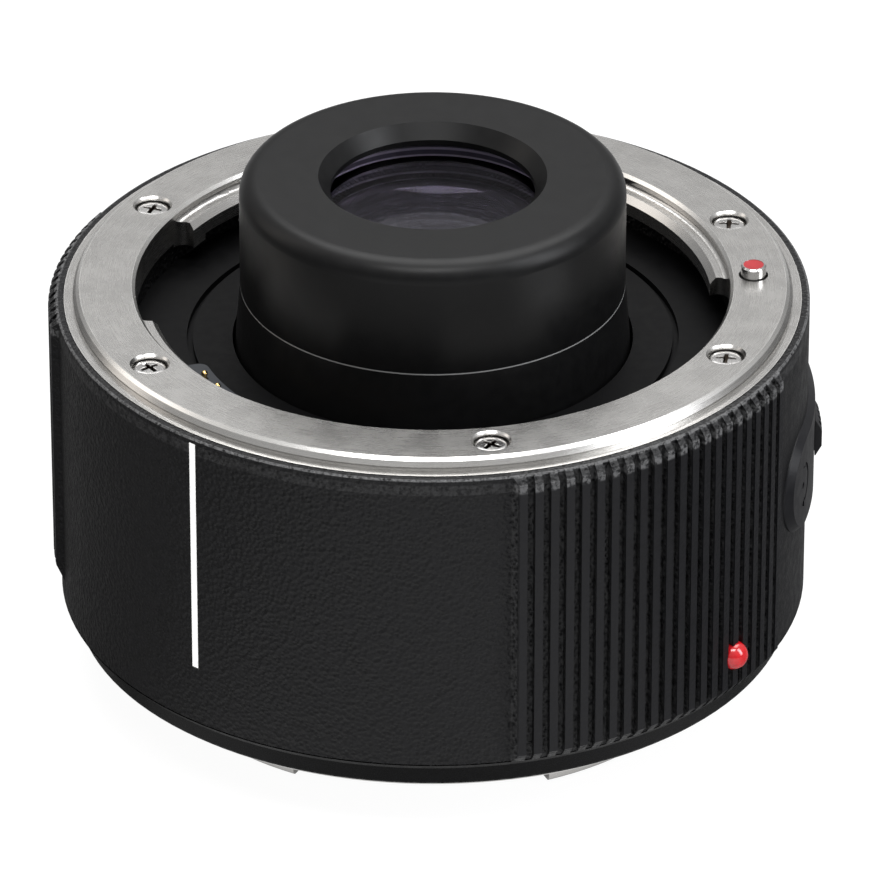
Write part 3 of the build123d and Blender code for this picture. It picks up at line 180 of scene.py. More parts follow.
def makeStreaks(look):
    tree, given, wanted = newGroup("sandedStreaks", {"Fineness": 9.0, "Stretch": 0.02}, ["Height", "Tone"])
    places = polarPlaces(tree)
    along = times(tree, places["azimuth"], given["Stretch"])
    unrolled = addNode(tree, "ShaderNodeCombineXYZ", {0: places["radius"], 1: along, 2: places["height"]})
    lines = noise(tree, unrolled.outputs[0], given["Fineness"], look["lineDetail"], look["lineRoughness"])
    cloud = noise(tree, places["spot"], look["cloudScale"], look["cloudDetail"])
    share = look["cloudShare"]
    tone = plus(tree, times(tree, lines, 1 - share), times(tree, cloud, share))
    tree.links.new(lines, wanted["Height"])
    tree.links.new(remap(tree, tone, *toneSpan), wanted["Tone"])
    return tree


edgeHighlightInside = {
    "coreShare": 0.45, "breakupScale": 2.2, "breakupDetail": 4.0, "breakupRoughness": 0.7, "breakupStartShare": 0.9,
    "breakupRise": 0.12,
}


# a mask along one edge, broken up like wear, that places a painted highlight
def makeEdgeHighlight(look):
    names = {"Radius": 37.0, "Radius Width": 0.3, "Level": 35.0, "Level Width": 0.3, "Breakup": 0.5}
    tree, given, wanted = newGroup("paintedEdgeHighlight", names, ["Mask"])
    places = polarPlaces(tree)

    def away(value, middle, width):
        return over(tree, calc(tree, "ABSOLUTE", minus(tree, value, given[middle])), given[width])

    aside = away(places["radius"], "Radius", "Radius Width")
    above = away(places["height"], "Level", "Level Width")
    near = remap(tree, larger(tree, aside, above), look["coreShare"], 1.0, 1.0, 0.0)
    breakupNoise = noise(tree, places["spot"], look["breakupScale"], look["breakupDetail"], look["breakupRoughness"])
    patchy = remap(tree, breakupNoise, times(tree, given["Breakup"], look["breakupStartShare"]),
                   plus(tree, given["Breakup"], look["breakupRise"]))
    tree.links.new(times(tree, near, patchy), wanted["Mask"])
    return tree


dustInside = {"cellScale": 0.8, "speckSpan": (0.02, 0.06), "cloudScale": 0.5, "cloudDetail": 2.0}


def makeDust(look):
    tree, given, wanted = newGroup("dustSpecks", {"Amount": 0.15}, ["Mask"])
    spot = polarPlaces(tree)["spot"]
    cells = addNode(tree, "ShaderNodeTexVoronoi", {"Vector": spot, "Scale": look["cellScale"]}).outputs["Distance"]
    cloud = noise(tree, spot, look["cloudScale"], look["cloudDetail"])
    speck = remap(tree, cells, *look["speckSpan"], 1.0, 0.0)
    tree.links.new(times(tree, times(tree, speck, cloud), given["Amount"]), wanted["Mask"])
    return tree


# a mask that is 1 inside a stretch of azimuths, radii and heights
def makeZone():
    names = {"First Azimuth": -25.0, "Last Azimuth": 25.0, "Inner Radius": 0.0, "Outer Radius": 100.0,
             "Foot": -10.0, "Head": 60.0, "Softness": 0.05}
    tree, given, wanted = newGroup("ringZone", names, ["Mask"])
    places = polarPlaces(tree)
    middle = times(tree, plus(tree, given["First Azimuth"], given["Last Azimuth"]), 0.5)
    half = times(tree, minus(tree, given["Last Azimuth"], given["First Azimuth"]), 0.5)
    away = calc(tree, "ABSOLUTE", calc(tree, "WRAP", minus(tree, places["azimuth"], middle), 180.0, -180.0))
    soft = given["Softness"]

    def inside(value, low, high):
        up = remap(tree, value, minus(tree, low, soft), low)
        return times(tree, up, remap(tree, value, high, plus(tree, high, soft), 1.0, 0.0))

    sides = remap(tree, away, half, plus(tree, half, soft), 1.0, 0.0)
    band = times(tree, inside(places["radius"], given["Inner Radius"], given["Outer Radius"]),
                 inside(places["height"], given["Foot"], given["Head"]))
    tree.links.new(times(tree, sides, band), wanted["Mask"])
    return tree


grainTree = makeGrain(grainInside)
streakTree = makeStreaks(streaksInside)
edgeHighlightTree = makeEdgeHighlight(edgeHighlightInside)
dustTree = makeDust(dustInside)
zoneTree = makeZone()
print("shared effects built")


# steps that the finishes have in common

def effect(material, tree, **values):
    inputs = {name.replace("_", " "): value for name, value in values.items()}
    return addNode(material.node_tree, "ShaderNodeGroup", inputs, node_tree=tree).outputs


def plainMaterial(name, shaderInputs):
    material = bpy.data.materials.new(name)
    material.use_nodes = True
    shader = material.node_tree.nodes["Principled BSDF"]
    for label, value in shaderInputs.items():
        shader.inputs[label].default_value = value
    return material, material.node_tree, shader


def feed(tree, shader, **sockets):
    for name, socket in sockets.items():
        tree.links.new(socket, shader.inputs[name.replace("_", " ")])


def toneColor(tree, tone, look):
    return blendColor(tree, tone, rgb(*look["dark"]), rgb(*look["light"]))


def toneRough(tree, tone, look):
    return remap(tree, tone, 0.0, 1.0, *look["rough"])


def relief(tree, height, look):
    inputs = {"Strength": look["relief"], "Distance": look["depth"] * mm, "Height": height}
    return addNode(tree, "ShaderNodeBump", inputs).outputs[0]


def paintGrain(material, look):
    return effect(material, grainTree, Pebble=look["pebble"], Fine=look["fine"], Sharpness=look["sharpness"])


# painted highlights along edges, a lighter colour broken up like wear: each edge is its radius and half width, its
# height and half width, and how broken up the highlight is
def paintedEdgeHighlights(material, look, color):
    for radius, radiusWidth, level, levelWidth, breakup in look.get("edges", ()):
        edgeHighlight = effect(material, edgeHighlightTree, Radius=radius, Radius_Width=radiusWidth, Level=level,
                        Level_Width=levelWidth, Breakup=breakup)[0]
        color = blendColor(material.node_tree, edgeHighlight, color, rgb(*look["edgeHighlight"]))
    return color


def dusted(material, look, color):
    dust = effect(material, dustTree, Amount=look["dust"])[0]
    return blendColor(material.node_tree, dust, color, gray(look.get("dustTone", 0.3)))


# black paint or anodising: fine grain, slight unevenness, dust, and painted highlights along the edges
def blackPaint(name, look):
    material, tree, shader = plainMaterial(name, {"Specular IOR Level": look["gloss"]})
    grain = paintGrain(material, look)
    color = paintedEdgeHighlights(material, look, toneColor(tree, grain["Tone"], look))
    feed(tree, shader, Base_Color=dusted(material, look, color), Roughness=toneRough(tree, grain["Tone"], look),
         Normal=relief(tree, grain["Height"], look))
    return material


# machined metal: fine sanding streaks round the axis, uneven roughness, painted highlights along the edges, and
# painted shade that makes a given band of heights darker
def sandedMetal(name, look):
    material, tree, shader = plainMaterial(name, {"Metallic": 1.0})
    streaks = effect(material, streakTree, Fineness=look["fineness"], Stretch=look["stretch"])
    color = paintedEdgeHighlights(material, look, toneColor(tree, streaks["Tone"], look))
    color = dusted(material, look, color)
    # painted shade: a darker colour over the given band of heights
    if "paintedShadeLevels" in look:
        foot, head = look["paintedShadeLevels"]
        paintedShade = effect(material, zoneTree, Foot=foot, Head=head, Softness=look["paintedShadeSoftness"], **wholeTurn)[0]
        color = blendColor(tree, paintedShade, color, rgb(*look["paintedShade"]))
    feed(tree, shader, Base_Color=color, Roughness=toneRough(tree, streaks["Tone"], look),
         Normal=relief(tree, streaks["Height"], look))
    return material


plasticGrain = {"fineShare": 0.4, "sharpness": 0.4, "coatRoughness": 0.04}


# moulded plastic, enamel or film with a faint mottle, and a painted glow where the look gives one
def softPlastic(name, look):
    material, tree, shader = plainMaterial(name, {
        "Specular IOR Level": look.get("gloss", 0.5), "Coat Weight": look.get("coat", 0.0),
        "Coat Roughness": plasticGrain["coatRoughness"],
        "Emission Color": rgb(*look["light"]), "Emission Strength": look.get("glow", 0.0),
    })
    grain = effect(material, grainTree, Pebble=look["pebble"], Fine=look["pebble"] * plasticGrain["fineShare"],
                   Sharpness=plasticGrain["sharpness"])
    feed(tree, shader, Base_Color=toneColor(tree, grain["Tone"], look),
         Roughness=toneRough(tree, grain["Tone"], look), Normal=relief(tree, grain["Height"], look))
    return material


# polished glass with an anti-reflection coating and a blackened ground rim, banded with painted reflections
def coatedGlass(name, look):
    material, tree, shader = plainMaterial(name, {
        "IOR": look["index"], "Specular Tint": rgb(*look["coating"]), "Specular IOR Level": look["rimGloss"],
    })
    haze = paintGrain(material, look)
    rim = effect(material, zoneTree, Inner_Radius=look["clearRadius"], **wholeTurn)[0]
    color = blendColor(tree, haze["Tone"], rgb(*look["tint"]), rgb(*[v * look["hazeLift"] for v in look["tint"]]))
    # painted reflection: light and dark bands round the ground rim, seen as arcs through the front glass
    wave = calc(tree, "SINE", times(tree, polarPlaces(tree)["height"], math.tau / look["bandPitch"]))
    paintedReflectionBands = blendColor(tree, remap(tree, wave, 0.0, look["bandEdge"]), rgb(*look["rimDark"]), rgb(*look["rimReflectionTone"]))
    feed(tree, shader, Base_Color=blendColor(tree, rim, color, paintedReflectionBands),
         Transmission_Weight=minus(tree, 1.0, rim), Roughness=times(tree, rim, look["rimRough"]))
    return material


# finishes, each with what a user would change beside it

finishes = {}

barrelLook = {
    "dark": (0.0025, 0.0025, 0.003), "light": (0.006, 0.006, 0.007), "edgeHighlight": (0.11, 0.11, 0.112),
    "pebble": 0.42, "fine": 0.14, "sharpness": 0.75, "rough": (0.36, 0.54), "gloss": 0.24,
    "relief": 1.0, "depth": 0.3, "dust": 0.1, "dustTone": 0.25,
    # the lighter edge colour is a painted highlight on the top rim, the foot chamfer and the grips' top bevel
    "edges": [(37.0, 0.3, 35.04, 0.22, 0.40), (37.0, 0.3, 3.3, 0.14, 0.5), (37.5, 0.6, 33.9, 0.6, 0.44)],
    "panelFirst": 334.9, "panelLast": 392.0, "panelInner": 36.0, "panelFoot": 3.4, "panelHead": 34.9,
    "panelSoftness": 0.2,
    "ribTopRadius": 37.6, "ribHead": 34.2, "ribSoftness": 0.04, "ribTone": (0.006, 0.006, 0.0075),
    "ribToneShare": 0.7,
    "padFirst": 281.7, "padLast": 334.8, "valleyInner": 30.0, "valleyOuter": 37.5, "valleySoftness": 0.05,
    "paintedGlintSpan": (0.30, 0.55), "paintedGlintTone": (0.035, 0.035, 0.036), "paintedGlintShare": 0.6,
    "smoothShare": 0.85,
}


# grained paint, smooth on the rib tops and on the panel round the release, with painted glints between the ribs
def barrelPaint(name, look):
    material, tree, shader = plainMaterial(name, {"Specular IOR Level": look["gloss"]})
    grain = paintGrain(material, look)
    panel = effect(material, zoneTree, First_Azimuth=look["panelFirst"], Last_Azimuth=look["panelLast"],
                   Inner_Radius=look["panelInner"], Foot=look["panelFoot"], Head=look["panelHead"],
                   Softness=look["panelSoftness"])[0]
    ribTops = effect(material, zoneTree, Inner_Radius=look["ribTopRadius"], Head=look["ribHead"],
                     Softness=look["ribSoftness"], **wholeTurn)[0]
    valleys = effect(material, zoneTree, First_Azimuth=look["padFirst"], Last_Azimuth=look["padLast"],
                     Inner_Radius=look["valleyInner"], Outer_Radius=look["valleyOuter"],
                     Softness=look["valleySoftness"])[0]
    color = toneColor(tree, grain["Tone"], look)
    color = blendColor(tree, times(tree, ribTops, look["ribToneShare"]), color, rgb(*look["ribTone"]))
    # painted glints: a lighter colour on the grain's peaks in the valleys between the ribs
    paintedGlints = times(tree, valleys, remap(tree, grain["Height"], *look["paintedGlintSpan"]))
    color = blendColor(tree, times(tree, paintedGlints, look["paintedGlintShare"]), color, rgb(*look["paintedGlintTone"]))
    color = dusted(material, look, paintedEdgeHighlights(material, look, color))
    flattened = times(tree, larger(tree, panel, ribTops), look["smoothShare"])
    height = times(tree, grain["Height"], minus(tree, 1.0, flattened))
    feed(tree, shader, Base_Color=color, Roughness=toneRough(tree, grain["Tone"], look),
         Normal=relief(tree, height, look))
    return material


finishes["grained_black_paint"] = barrelPaint("barrelPaint", barrelLook)
finishes["gloss_black_paint"] = blackPaint("coverRingPaint", {
    "dark": (0.002, 0.002, 0.0022), "light": (0.0035, 0.0035, 0.004), "edgeHighlight": (0.06, 0.06, 0.06),
    "pebble": 0.5, "fine": 0.2, "sharpness": 0.3, "rough": (0.22, 0.32), "gloss": 0.03,
    # the lighter edge colour here is a painted highlight on the ring's bevel
    "relief": 0.08, "depth": 0.03, "dust": 0.1, "edges": [(35.6, 0.25, 0.5, 0.15, 0.45)],
})
finishes["satin_black_metal"] = blackPaint("hoodAnodising", {
    "dark": (0.0035, 0.0035, 0.0037), "light": (0.005, 0.005, 0.0052), "edgeHighlight": (0.28, 0.28, 0.28),
    "pebble": 0.16, "fine": 0.07, "sharpness": 0.35, "rough": (0.36, 0.42), "gloss": 0.2,
    # the lighter edge colour here is a painted highlight along the hood's lower edge
    "relief": 0.12, "depth": 0.02, "dust": 0.06, "edges": [(18.9, 0.12, 36.36, 0.09, 0.2)],
})
finishes["release_black"] = blackPaint("releasePaint", {
    "dark": (0.006, 0.006, 0.0075), "light": (0.009, 0.009, 0.0105),
    "pebble": 0.25, "fine": 0.1, "sharpness": 0.4, "rough": (0.34, 0.44), "gloss": 0.25,
    "relief": 0.15, "depth": 0.03, "dust": 0.08,
})
finishes["matte_black_floor"] = blackPaint("floorPaint", {
    "dark": (0.002, 0.002, 0.0022), "light": (0.003, 0.003, 0.0033),
    "pebble": 0.2, "fine": 0.08, "sharpness": 0.4, "rough": (0.5, 0.62), "gloss": 0.08,
    "relief": 0.12, "depth": 0.02, "dust": 0.1,
})
finishes["black_aluminium"] = blackPaint("cellAnodising", {
    "dark": (0.004, 0.004, 0.0045), "light": (0.007, 0.007, 0.0075),
    "pebble": 0.2, "fine": 0.08, "sharpness": 0.4, "rough": (0.4, 0.5), "gloss": 0.15,
    "relief": 0.1, "depth": 0.02, "dust": 0.0,
})
finishes["satin_steel"] = sandedMetal("mountRingSteel", {
    "dark": (0.525, 0.515, 0.50), "light": (0.565, 0.555, 0.54), "edgeHighlight": (0.78, 0.77, 0.75),
    "fineness": 24.0, "stretch": 0.008, "rough": (0.25, 0.29), "relief": 0.06, "depth": 0.006, "dust": 0.03,
    # the lighter edge colour here is a painted highlight on the mount ring's chamfers
    "edges": [(34.85, 0.3, 36.15, 0.22, 0.25), (29.35, 0.25, 36.15, 0.22, 0.3), (36.2, 0.1, 35.1, 0.09, 0.3)],
})
finishes["bright_steel"] = sandedMetal("screwSteel", {
    "dark": (0.56, 0.55, 0.54), "light": (0.66, 0.65, 0.64), "fineness": 14.0, "stretch": 0.4,
    "rough": (0.16, 0.26), "relief": 0.05, "depth": 0.01, "dust": 0.02,
    # painted shade: all but the exposed head tops is made darker, where the screws sit sunk in their pockets
    "paintedShadeLevels": (0.5, 35.74), "paintedShadeSoftness": 0.12, "paintedShade": (0.05, 0.04, 0.032),
})
finishes["spring_steel"] = sandedMetal("springSteel", {
    "dark": (0.42, 0.42, 0.42), "light": (0.52, 0.52, 0.52), "fineness": 8.0, "stretch": 0.2,
    "rough": (0.2, 0.3), "relief": 0.05, "depth": 0.01, "dust": 0.0,
})
finishes["black_steel_screw"] = sandedMetal("blackenedSteel", {
    "dark": (0.06, 0.06, 0.065), "light": (0.10, 0.10, 0.105), "fineness": 10.0, "stretch": 0.4,
    "rough": (0.3, 0.42), "relief": 0.08, "depth": 0.01, "dust": 0.05,
})
finishes["gold_plate"] = sandedMetal("goldPlate", {
    "dark": (0.66, 0.46, 0.17), "light": (0.85, 0.62, 0.27), "fineness": 12.0, "stretch": 0.3,
    "rough": (0.12, 0.22), "relief": 0.03, "depth": 0.01, "dust": 0.0,
})
finishes["cast_aluminium"] = sandedMetal("machinedAluminium", {
    "dark": (0.46, 0.46, 0.47), "light": (0.56, 0.56, 0.57), "fineness": 4.0, "stretch": 0.05,
    "rough": (0.32, 0.45), "relief": 0.12, "depth": 0.02, "dust": 0.0,
})
finishes["brass_shim"] = sandedMetal("brassShim", {
    "dark": (0.58, 0.43, 0.18), "light": (0.70, 0.54, 0.25), "fineness": 6.0, "stretch": 0.1,
    "rough": (0.25, 0.35), "relief": 0.05, "depth": 0.01, "dust": 0.0,
})
finishes["contact_plastic"] = softPlastic("contactBlockPlastic", {
    "dark": (0.014, 0.017, 0.022), "light": (0.019, 0.022, 0.028), "rough": (0.4, 0.5), "pebble": 0.3,
    "relief": 0.1, "depth": 0.02, "gloss": 0.4,
})
finishes["white_paint"] = softPlastic("whiteLinePaint", {
    "dark": (0.93, 0.93, 0.92), "light": (0.97, 0.97, 0.96), "rough": (0.35, 0.45), "pebble": 0.3,
    # the glow is painted light that lifts the white line
    "relief": 0.1, "depth": 0.02, "glow": 0.35,
})
finishes["red_plastic"] = softPlastic("indexBallRed", {
    "dark": (0.52, 0.003, 0.008), "light": (0.60, 0.006, 0.012), "rough": (0.16, 0.24), "pebble": 0.6,
    # the glow is painted light on the red ball
    "relief": 0.03, "depth": 0.01, "coat": 0.8, "glow": 0.06,
})
finishes["red_enamel"] = softPlastic("pinEnamelRed", {
    "dark": (0.30, 0.004, 0.009), "light": (0.38, 0.008, 0.014), "rough": (0.3, 0.4), "pebble": 0.25,
    "relief": 0.05, "depth": 0.01, "coat": 0.3,
})
finishes["green_board"] = softPlastic("boardLacquer", {
    "dark": (0.008, 0.07, 0.03), "light": (0.012, 0.10, 0.045), "rough": (0.3, 0.4), "pebble": 0.5,
    "relief": 0.1, "depth": 0.02,
})
finishes["chip_black"] = softPlastic("chipResin", {
    "dark": (0.012, 0.012, 0.012), "light": (0.02, 0.02, 0.02), "rough": (0.5, 0.6), "pebble": 0.15,
    "relief": 0.2, "depth": 0.02,
})
finishes["socket_plastic"] = softPlastic("socketNylon", {
    "dark": (0.40, 0.35, 0.26), "light": (0.46, 0.41, 0.31), "rough": (0.4, 0.5), "pebble": 0.3,
    "relief": 0.08, "depth": 0.02,
})
finishes["amber_film"] = softPlastic("amberFilm", {
    "dark": (0.30, 0.12, 0.012), "light": (0.38, 0.16, 0.02), "rough": (0.25, 0.35), "pebble": 0.8,
    "relief": 0.05, "depth": 0.02, "coat": 0.2,
})
finishes["coated_glass"] = coatedGlass("coatedGlass", {
    "index": 1.13, "coating": (0.78, 0.66, 1.0), "tint": (0.93, 0.92, 0.97),
    "pebble": 1.4, "fine": 0.5, "sharpness": 0.3, "hazeLift": 1.02,
    "clearRadius": 10.85, "rimGloss": 0.3, "rimRough": 0.5, "bandPitch": 1.1, "bandEdge": 0.9,
    # the light bands on the rim are painted reflections
    "rimDark": (0.06, 0.055, 0.075), "rimReflectionTone": (0.32, 0.29, 0.37),
})

for part in frame["record"]["subparts"]:
    surfaces = frame["nodes"][part["node"]].data.materials
    surfaces.clear()
    surfaces.append(finishes[part["material_slot"]])


# meshes that are turned, cut, and set out by node trees; sizes are millimetres

sharpAngle = 32.0


def newPiece(name, mesh):
    piece = bpy.data.objects.new(name, mesh)
    bpy.context.scene.collection.objects.link(piece)
    return piece


def closeMesh(name, shape):
    bmesh.ops.recalc_face_normals(shape, faces=shape.faces)
    mesh = bpy.data.meshes.new(name)
    shape.to_mesh(mesh)
    shape.free()
    return mesh


# the outline of radii and heights, from top to foot, turned round the axis
def turnedMesh(name, outline, steps):
    shape = bmesh.new()
    rows = []
    for radius, height in outline:
        count = steps if radius else 1
        rows.append([shape.verts.new((radius * mm * math.cos(math.tau * i / steps),
                                      radius * mm * math.sin(math.tau * i / steps), height * mm))
                     for i in range(count)])
    for upper, lower in zip(rows, rows[1:]):
        for i in range(steps):
            j = (i + 1) % steps
            corners = [upper[i % len(upper)], lower[i % len(lower)],
                       lower[j % len(lower)], upper[j % len(upper)]]
            shape.faces.new(list(dict.fromkeys(corners)))
    return closeMesh(name, shape)


# a cross that narrows downwards, to be cut out of a screw's head
def crossCutter(look):
    top = look["headHeight"] + look["dome"] + look["cutterRise"]
    foot = look["headHeight"] - look["recessDepth"]
    shape = bmesh.new()
    loops = []
    for height, (spanShare, widthShare) in ((top, look["topShares"]), (foot, look["footShares"])):
        span, width = look["recessSpan"] * spanShare, look["recessWidth"] * widthShare
        inner = width + look["recessCorner"]
        quarter = [(span, -width), (span, width), (inner, width), (width, inner)]
        loop = []
        for turn in range(4):
            c, s = math.cos(turn * math.pi / 2), math.sin(turn * math.pi / 2)
            loop += [shape.verts.new(((x * c - y * s) * mm, (x * s + y * c) * mm, height * mm))
                     for x, y in quarter]
        loops.append(loop)
    count = len(loops[0])
    for i in range(count):
        j = (i + 1) % count
        shape.faces.new([loops[0][i], loops[1][i], loops[1][j], loops[0][j]])
    shape.faces.new(loops[0])
    shape.faces.new(list(reversed(loops[1])))
    return closeMesh("crossCutter", shape)


# a plain mesh of what the modifiers make, with its sharp edges kept
def finishModifiers(piece):
    bpy.context.view_layer.update()
    mesh = bpy.data.meshes.new_from_object(piece.evaluated_get(bpy.context.evaluated_depsgraph_get()))
    piece.modifiers.clear()
    piece.data = mesh
    mesh.shade_smooth()
    mesh.set_sharp_from_angle(angle=math.radians(sharpAngle))
    return piece


def screwPattern(name, look):
    r, h, edge, dome = look["headRadius"], look["headHeight"], look["edge"], look["dome"]
    bevel = edge * look["bevelShare"]
    outline = [(0, h + dome)]
    outline += [(r * share, h + dome * (1 - share * share)) for share in look["domeShares"]]
    outline += [(r - edge, h), (r - bevel, h - bevel), (r, h - edge), (r, 0), (look["shankRadius"], 0),
                (look["shankRadius"], -look["shankLength"]), (0, -look["shankLength"])]
    head = newPiece(name, turnedMesh(name, outline, look["steps"]))
    cutter = newPiece(name + "Cutter", crossCutter(look))
    cut = head.modifiers.new("recess", "BOOLEAN")
    cut.object = cutter
    cut.operation = "DIFFERENCE"
    cut.solver = "EXACT"
    soften = head.modifiers.new("soften", "BEVEL")
    soften.width = look["soften"] * mm
    soften.segments = look["softenSteps"]
    soften.limit_method = "ANGLE"
    soften.angle_limit = math.radians(look["softenAngle"])
    finishModifiers(head)
    bpy.data.objects.remove(cutter)
    return head


# a ball-ended pin with a turned neck, a collar that stops it in the block, and a tail for its spring
def contactPin(name, look):
    ball, tip, bevel = look["pinRadius"], look["tip"], look["collarBevel"]
    neckTop, neckFoot, shoulder = [tip - ball * share for share in look["neckShares"]]
    outline = [(0, tip)]
    outline += [(ball * math.sin(a), tip - ball + ball * math.cos(a)) for a in look["ballAngles"]]
    outline += [(look["neckRadius"], neckTop), (look["neckRadius"], neckFoot), (ball, shoulder),
                (ball, look["collarTop"]), (look["collarRadius"] - bevel, look["collarTop"]),
                (look["collarRadius"], look["collarTop"] - bevel), (look["collarRadius"], look["collarFoot"]),
                (look["tailRadius"], look["collarFoot"]), (look["tailRadius"], look["tailFoot"]),
                (0, look["tailFoot"])]
    return newPiece(name, turnedMesh(name, outline, look["steps"]))


def newGeometryTree(name, inputs):
    tree = bpy.data.node_groups.new(name, "GeometryNodeTree")
    tree.interface.new_socket("Geometry", in_out="INPUT", socket_type="NodeSocketGeometry")
    for label, kind in inputs.items():
        tree.interface.new_socket(label, in_out="INPUT", socket_type="NodeSocket" + kind)
    tree.interface.new_socket("Geometry", in_out="OUTPUT", socket_type="NodeSocketGeometry")
    return tree, tree.nodes.new("NodeGroupInput").outputs, tree.nodes.new("NodeGroupOutput").inputs


# copies of one object on points round a circle, each at its own azimuth and turned by its own angle
def makeRingOfCopies():
    tree, given, wanted = newGeometryTree("ringOfCopies", {
        "Circle Radius": "Float", "Height": "Float", "Tilt": "Float", "Copy": "Object", "Finish": "Material",
    })

    def ownValue(name):
        return addNode(tree, "GeometryNodeInputNamedAttribute", {"Name": name}, data_type="FLOAT").outputs[0]

    azimuth, turn = ownValue("azimuth"), ownValue("turn")
    angle = calc(tree, "RADIANS", azimuth)
    place = addNode(tree, "ShaderNodeCombineXYZ", {
        0: times(tree, calc(tree, "COSINE", angle), given["Circle Radius"]),
        1: times(tree, calc(tree, "SINE", angle), given["Circle Radius"]), 2: given["Height"],
    }).outputs[0]
    spin = addNode(tree, "ShaderNodeCombineXYZ", {
        0: given["Tilt"], 2: calc(tree, "RADIANS", plus(tree, azimuth, turn)),
    }).outputs[0]
    points = addNode(tree, "GeometryNodeSetPosition", {"Geometry": given["Geometry"], "Position": place})
    shape = addNode(tree, "GeometryNodeObjectInfo", {"Object": given["Copy"]}).outputs["Geometry"]
    copies = addNode(tree, "GeometryNodeInstanceOnPoints", {
        "Points": points.outputs[0], "Instance": shape, "Rotation": spin,
    })
    real = addNode(tree, "GeometryNodeRealizeInstances", {"Geometry": copies.outputs[0]}).outputs[0]
    painted = addNode(tree, "GeometryNodeSetMaterial", {"Geometry": real, "Material": given["Finish"]})
    tree.links.new(painted.outputs[0], wanted["Geometry"])
    return tree


def runTree(piece, tree, values):
    modifier = piece.modifiers.new(tree.name, "NODES")
    modifier.node_group = tree
    for item in tree.interface.items_tree:
        if item.in_out == "INPUT" and item.name in values:
            modifier[item.identifier] = values[item.name]
    return finishModifiers(piece)


copiesTree = makeRingOfCopies()


def ringOfCopies(name, pattern, ringLook, body, slotName, node):
    azimuths = ringLook["azimuths"]
    mesh = bpy.data.meshes.new(name)
    mesh.from_pydata([(0, 0, 0)] * len(azimuths), [], [])
    for label, values in (("azimuth", azimuths), ("turn", ringLook.get("turns", [0.0] * len(azimuths)))):
        mesh.attributes.new(label, "FLOAT", "POINT").data.foreach_set("value", values)
    piece = runTree(newPiece(name, mesh), copiesTree, {
        "Circle Radius": ringLook["circle"] * mm, "Height": ringLook["height"] * mm,
        "Tilt": math.radians(ringLook["tilt"]), "Copy": pattern, "Finish": finishes[slotName],
    })
    bpy.data.objects.remove(pattern)
    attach(piece, body)
    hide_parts(node)
    print(name, len(piece.data.vertices), "points")


mountScrewLook = {
    "headRadius": 1.6, "headHeight": 0.8, "edge": 0.16, "bevelShare": 0.3, "dome": 0.1,
    "domeShares": (0.25, 0.5, 0.7, 0.85), "shankRadius": 0.85, "shankLength": 3.9, "steps": 64,
    "recessSpan": 1.02, "recessWidth": 0.21, "recessCorner": 0.08, "recessDepth": 0.62,
    "topShares": (1.1, 1.1), "footShares": (0.7, 0.85), "cutterRise": 0.3,
    "soften": 0.015, "softenSteps": 2, "softenAngle": 35.0,
}
mountScrewRing = {
    "circle": 31.95, "height": 35.05, "tilt": 0.0, "azimuths": [23.0, 90.0, 150.8, 211.3, 280.0, 332.5],
    "turns": [62.0, 20.0, 8.0, 5.0, 45.0, 20.0],
}
ringOfCopies("mountScrews", screwPattern("mountScrew", mountScrewLook), mountScrewRing,
             "converter", "bright_steel", "lens_mount_screws")

cameraScrewRing = {
    "circle": 31.95, "height": 1.0, "tilt": 180.0, "azimuths": [30.0, 90.0, 150.0, 210.0, 270.0, 330.0],
    "turns": [15.0, 48.0, 71.0, 30.0, 5.0, 62.0],
}
ringOfCopies("cameraScrews", screwPattern("cameraScrew", mountScrewLook), cameraScrewRing,
             "converter", "bright_steel", "camera_mount_screws")

contactPinLook = {
    "pinRadius": 0.33, "ballAngles": (0.4, 0.8, 1.2, 1.6, 2.0), "neckRadius": 0.24, "neckShares": (1.9, 2.4, 2.7),
    "collarRadius": 0.55, "collarBevel": 0.06, "tailRadius": 0.2, "tip": 32.0, "collarTop": 30.0,
    "collarFoot": 29.5, "tailFoot": 28.95, "steps": 32,
}
contactPinRing = {
    "circle": 24.5, "height": 0.0, "tilt": 0.0, "azimuths": [205.0 + 6.5 * i for i in range(10)],
}
ringOfCopies("ballTippedPins", contactPin("contactPin", contactPinLook), contactPinRing,
             "contact_pins", "gold_plate", "contact_pins")


# studio: floor, world, lamps and camera; lengths are metres

floorLook = {
    "halfSide": 4.0, "color": 0.7, "dimColor": 0.12, "glow": 0.95,
    "mirroredFront": 0.85, "frontSpan": (0.35, 0.98),       # what metal and glass see towards -Y
    "mirroredSides": 0.05,
    "mirroredBack": 0.45, "backSpan": (-0.95, -0.72),       # and towards +Y
    # under the part the floor's glow goes out for all but camera rays, a painted shadow
    "paintedShadowReach": 0.031, "paintedShadowCoreShare": 0.8,               # the part stands on this much of the floor
}


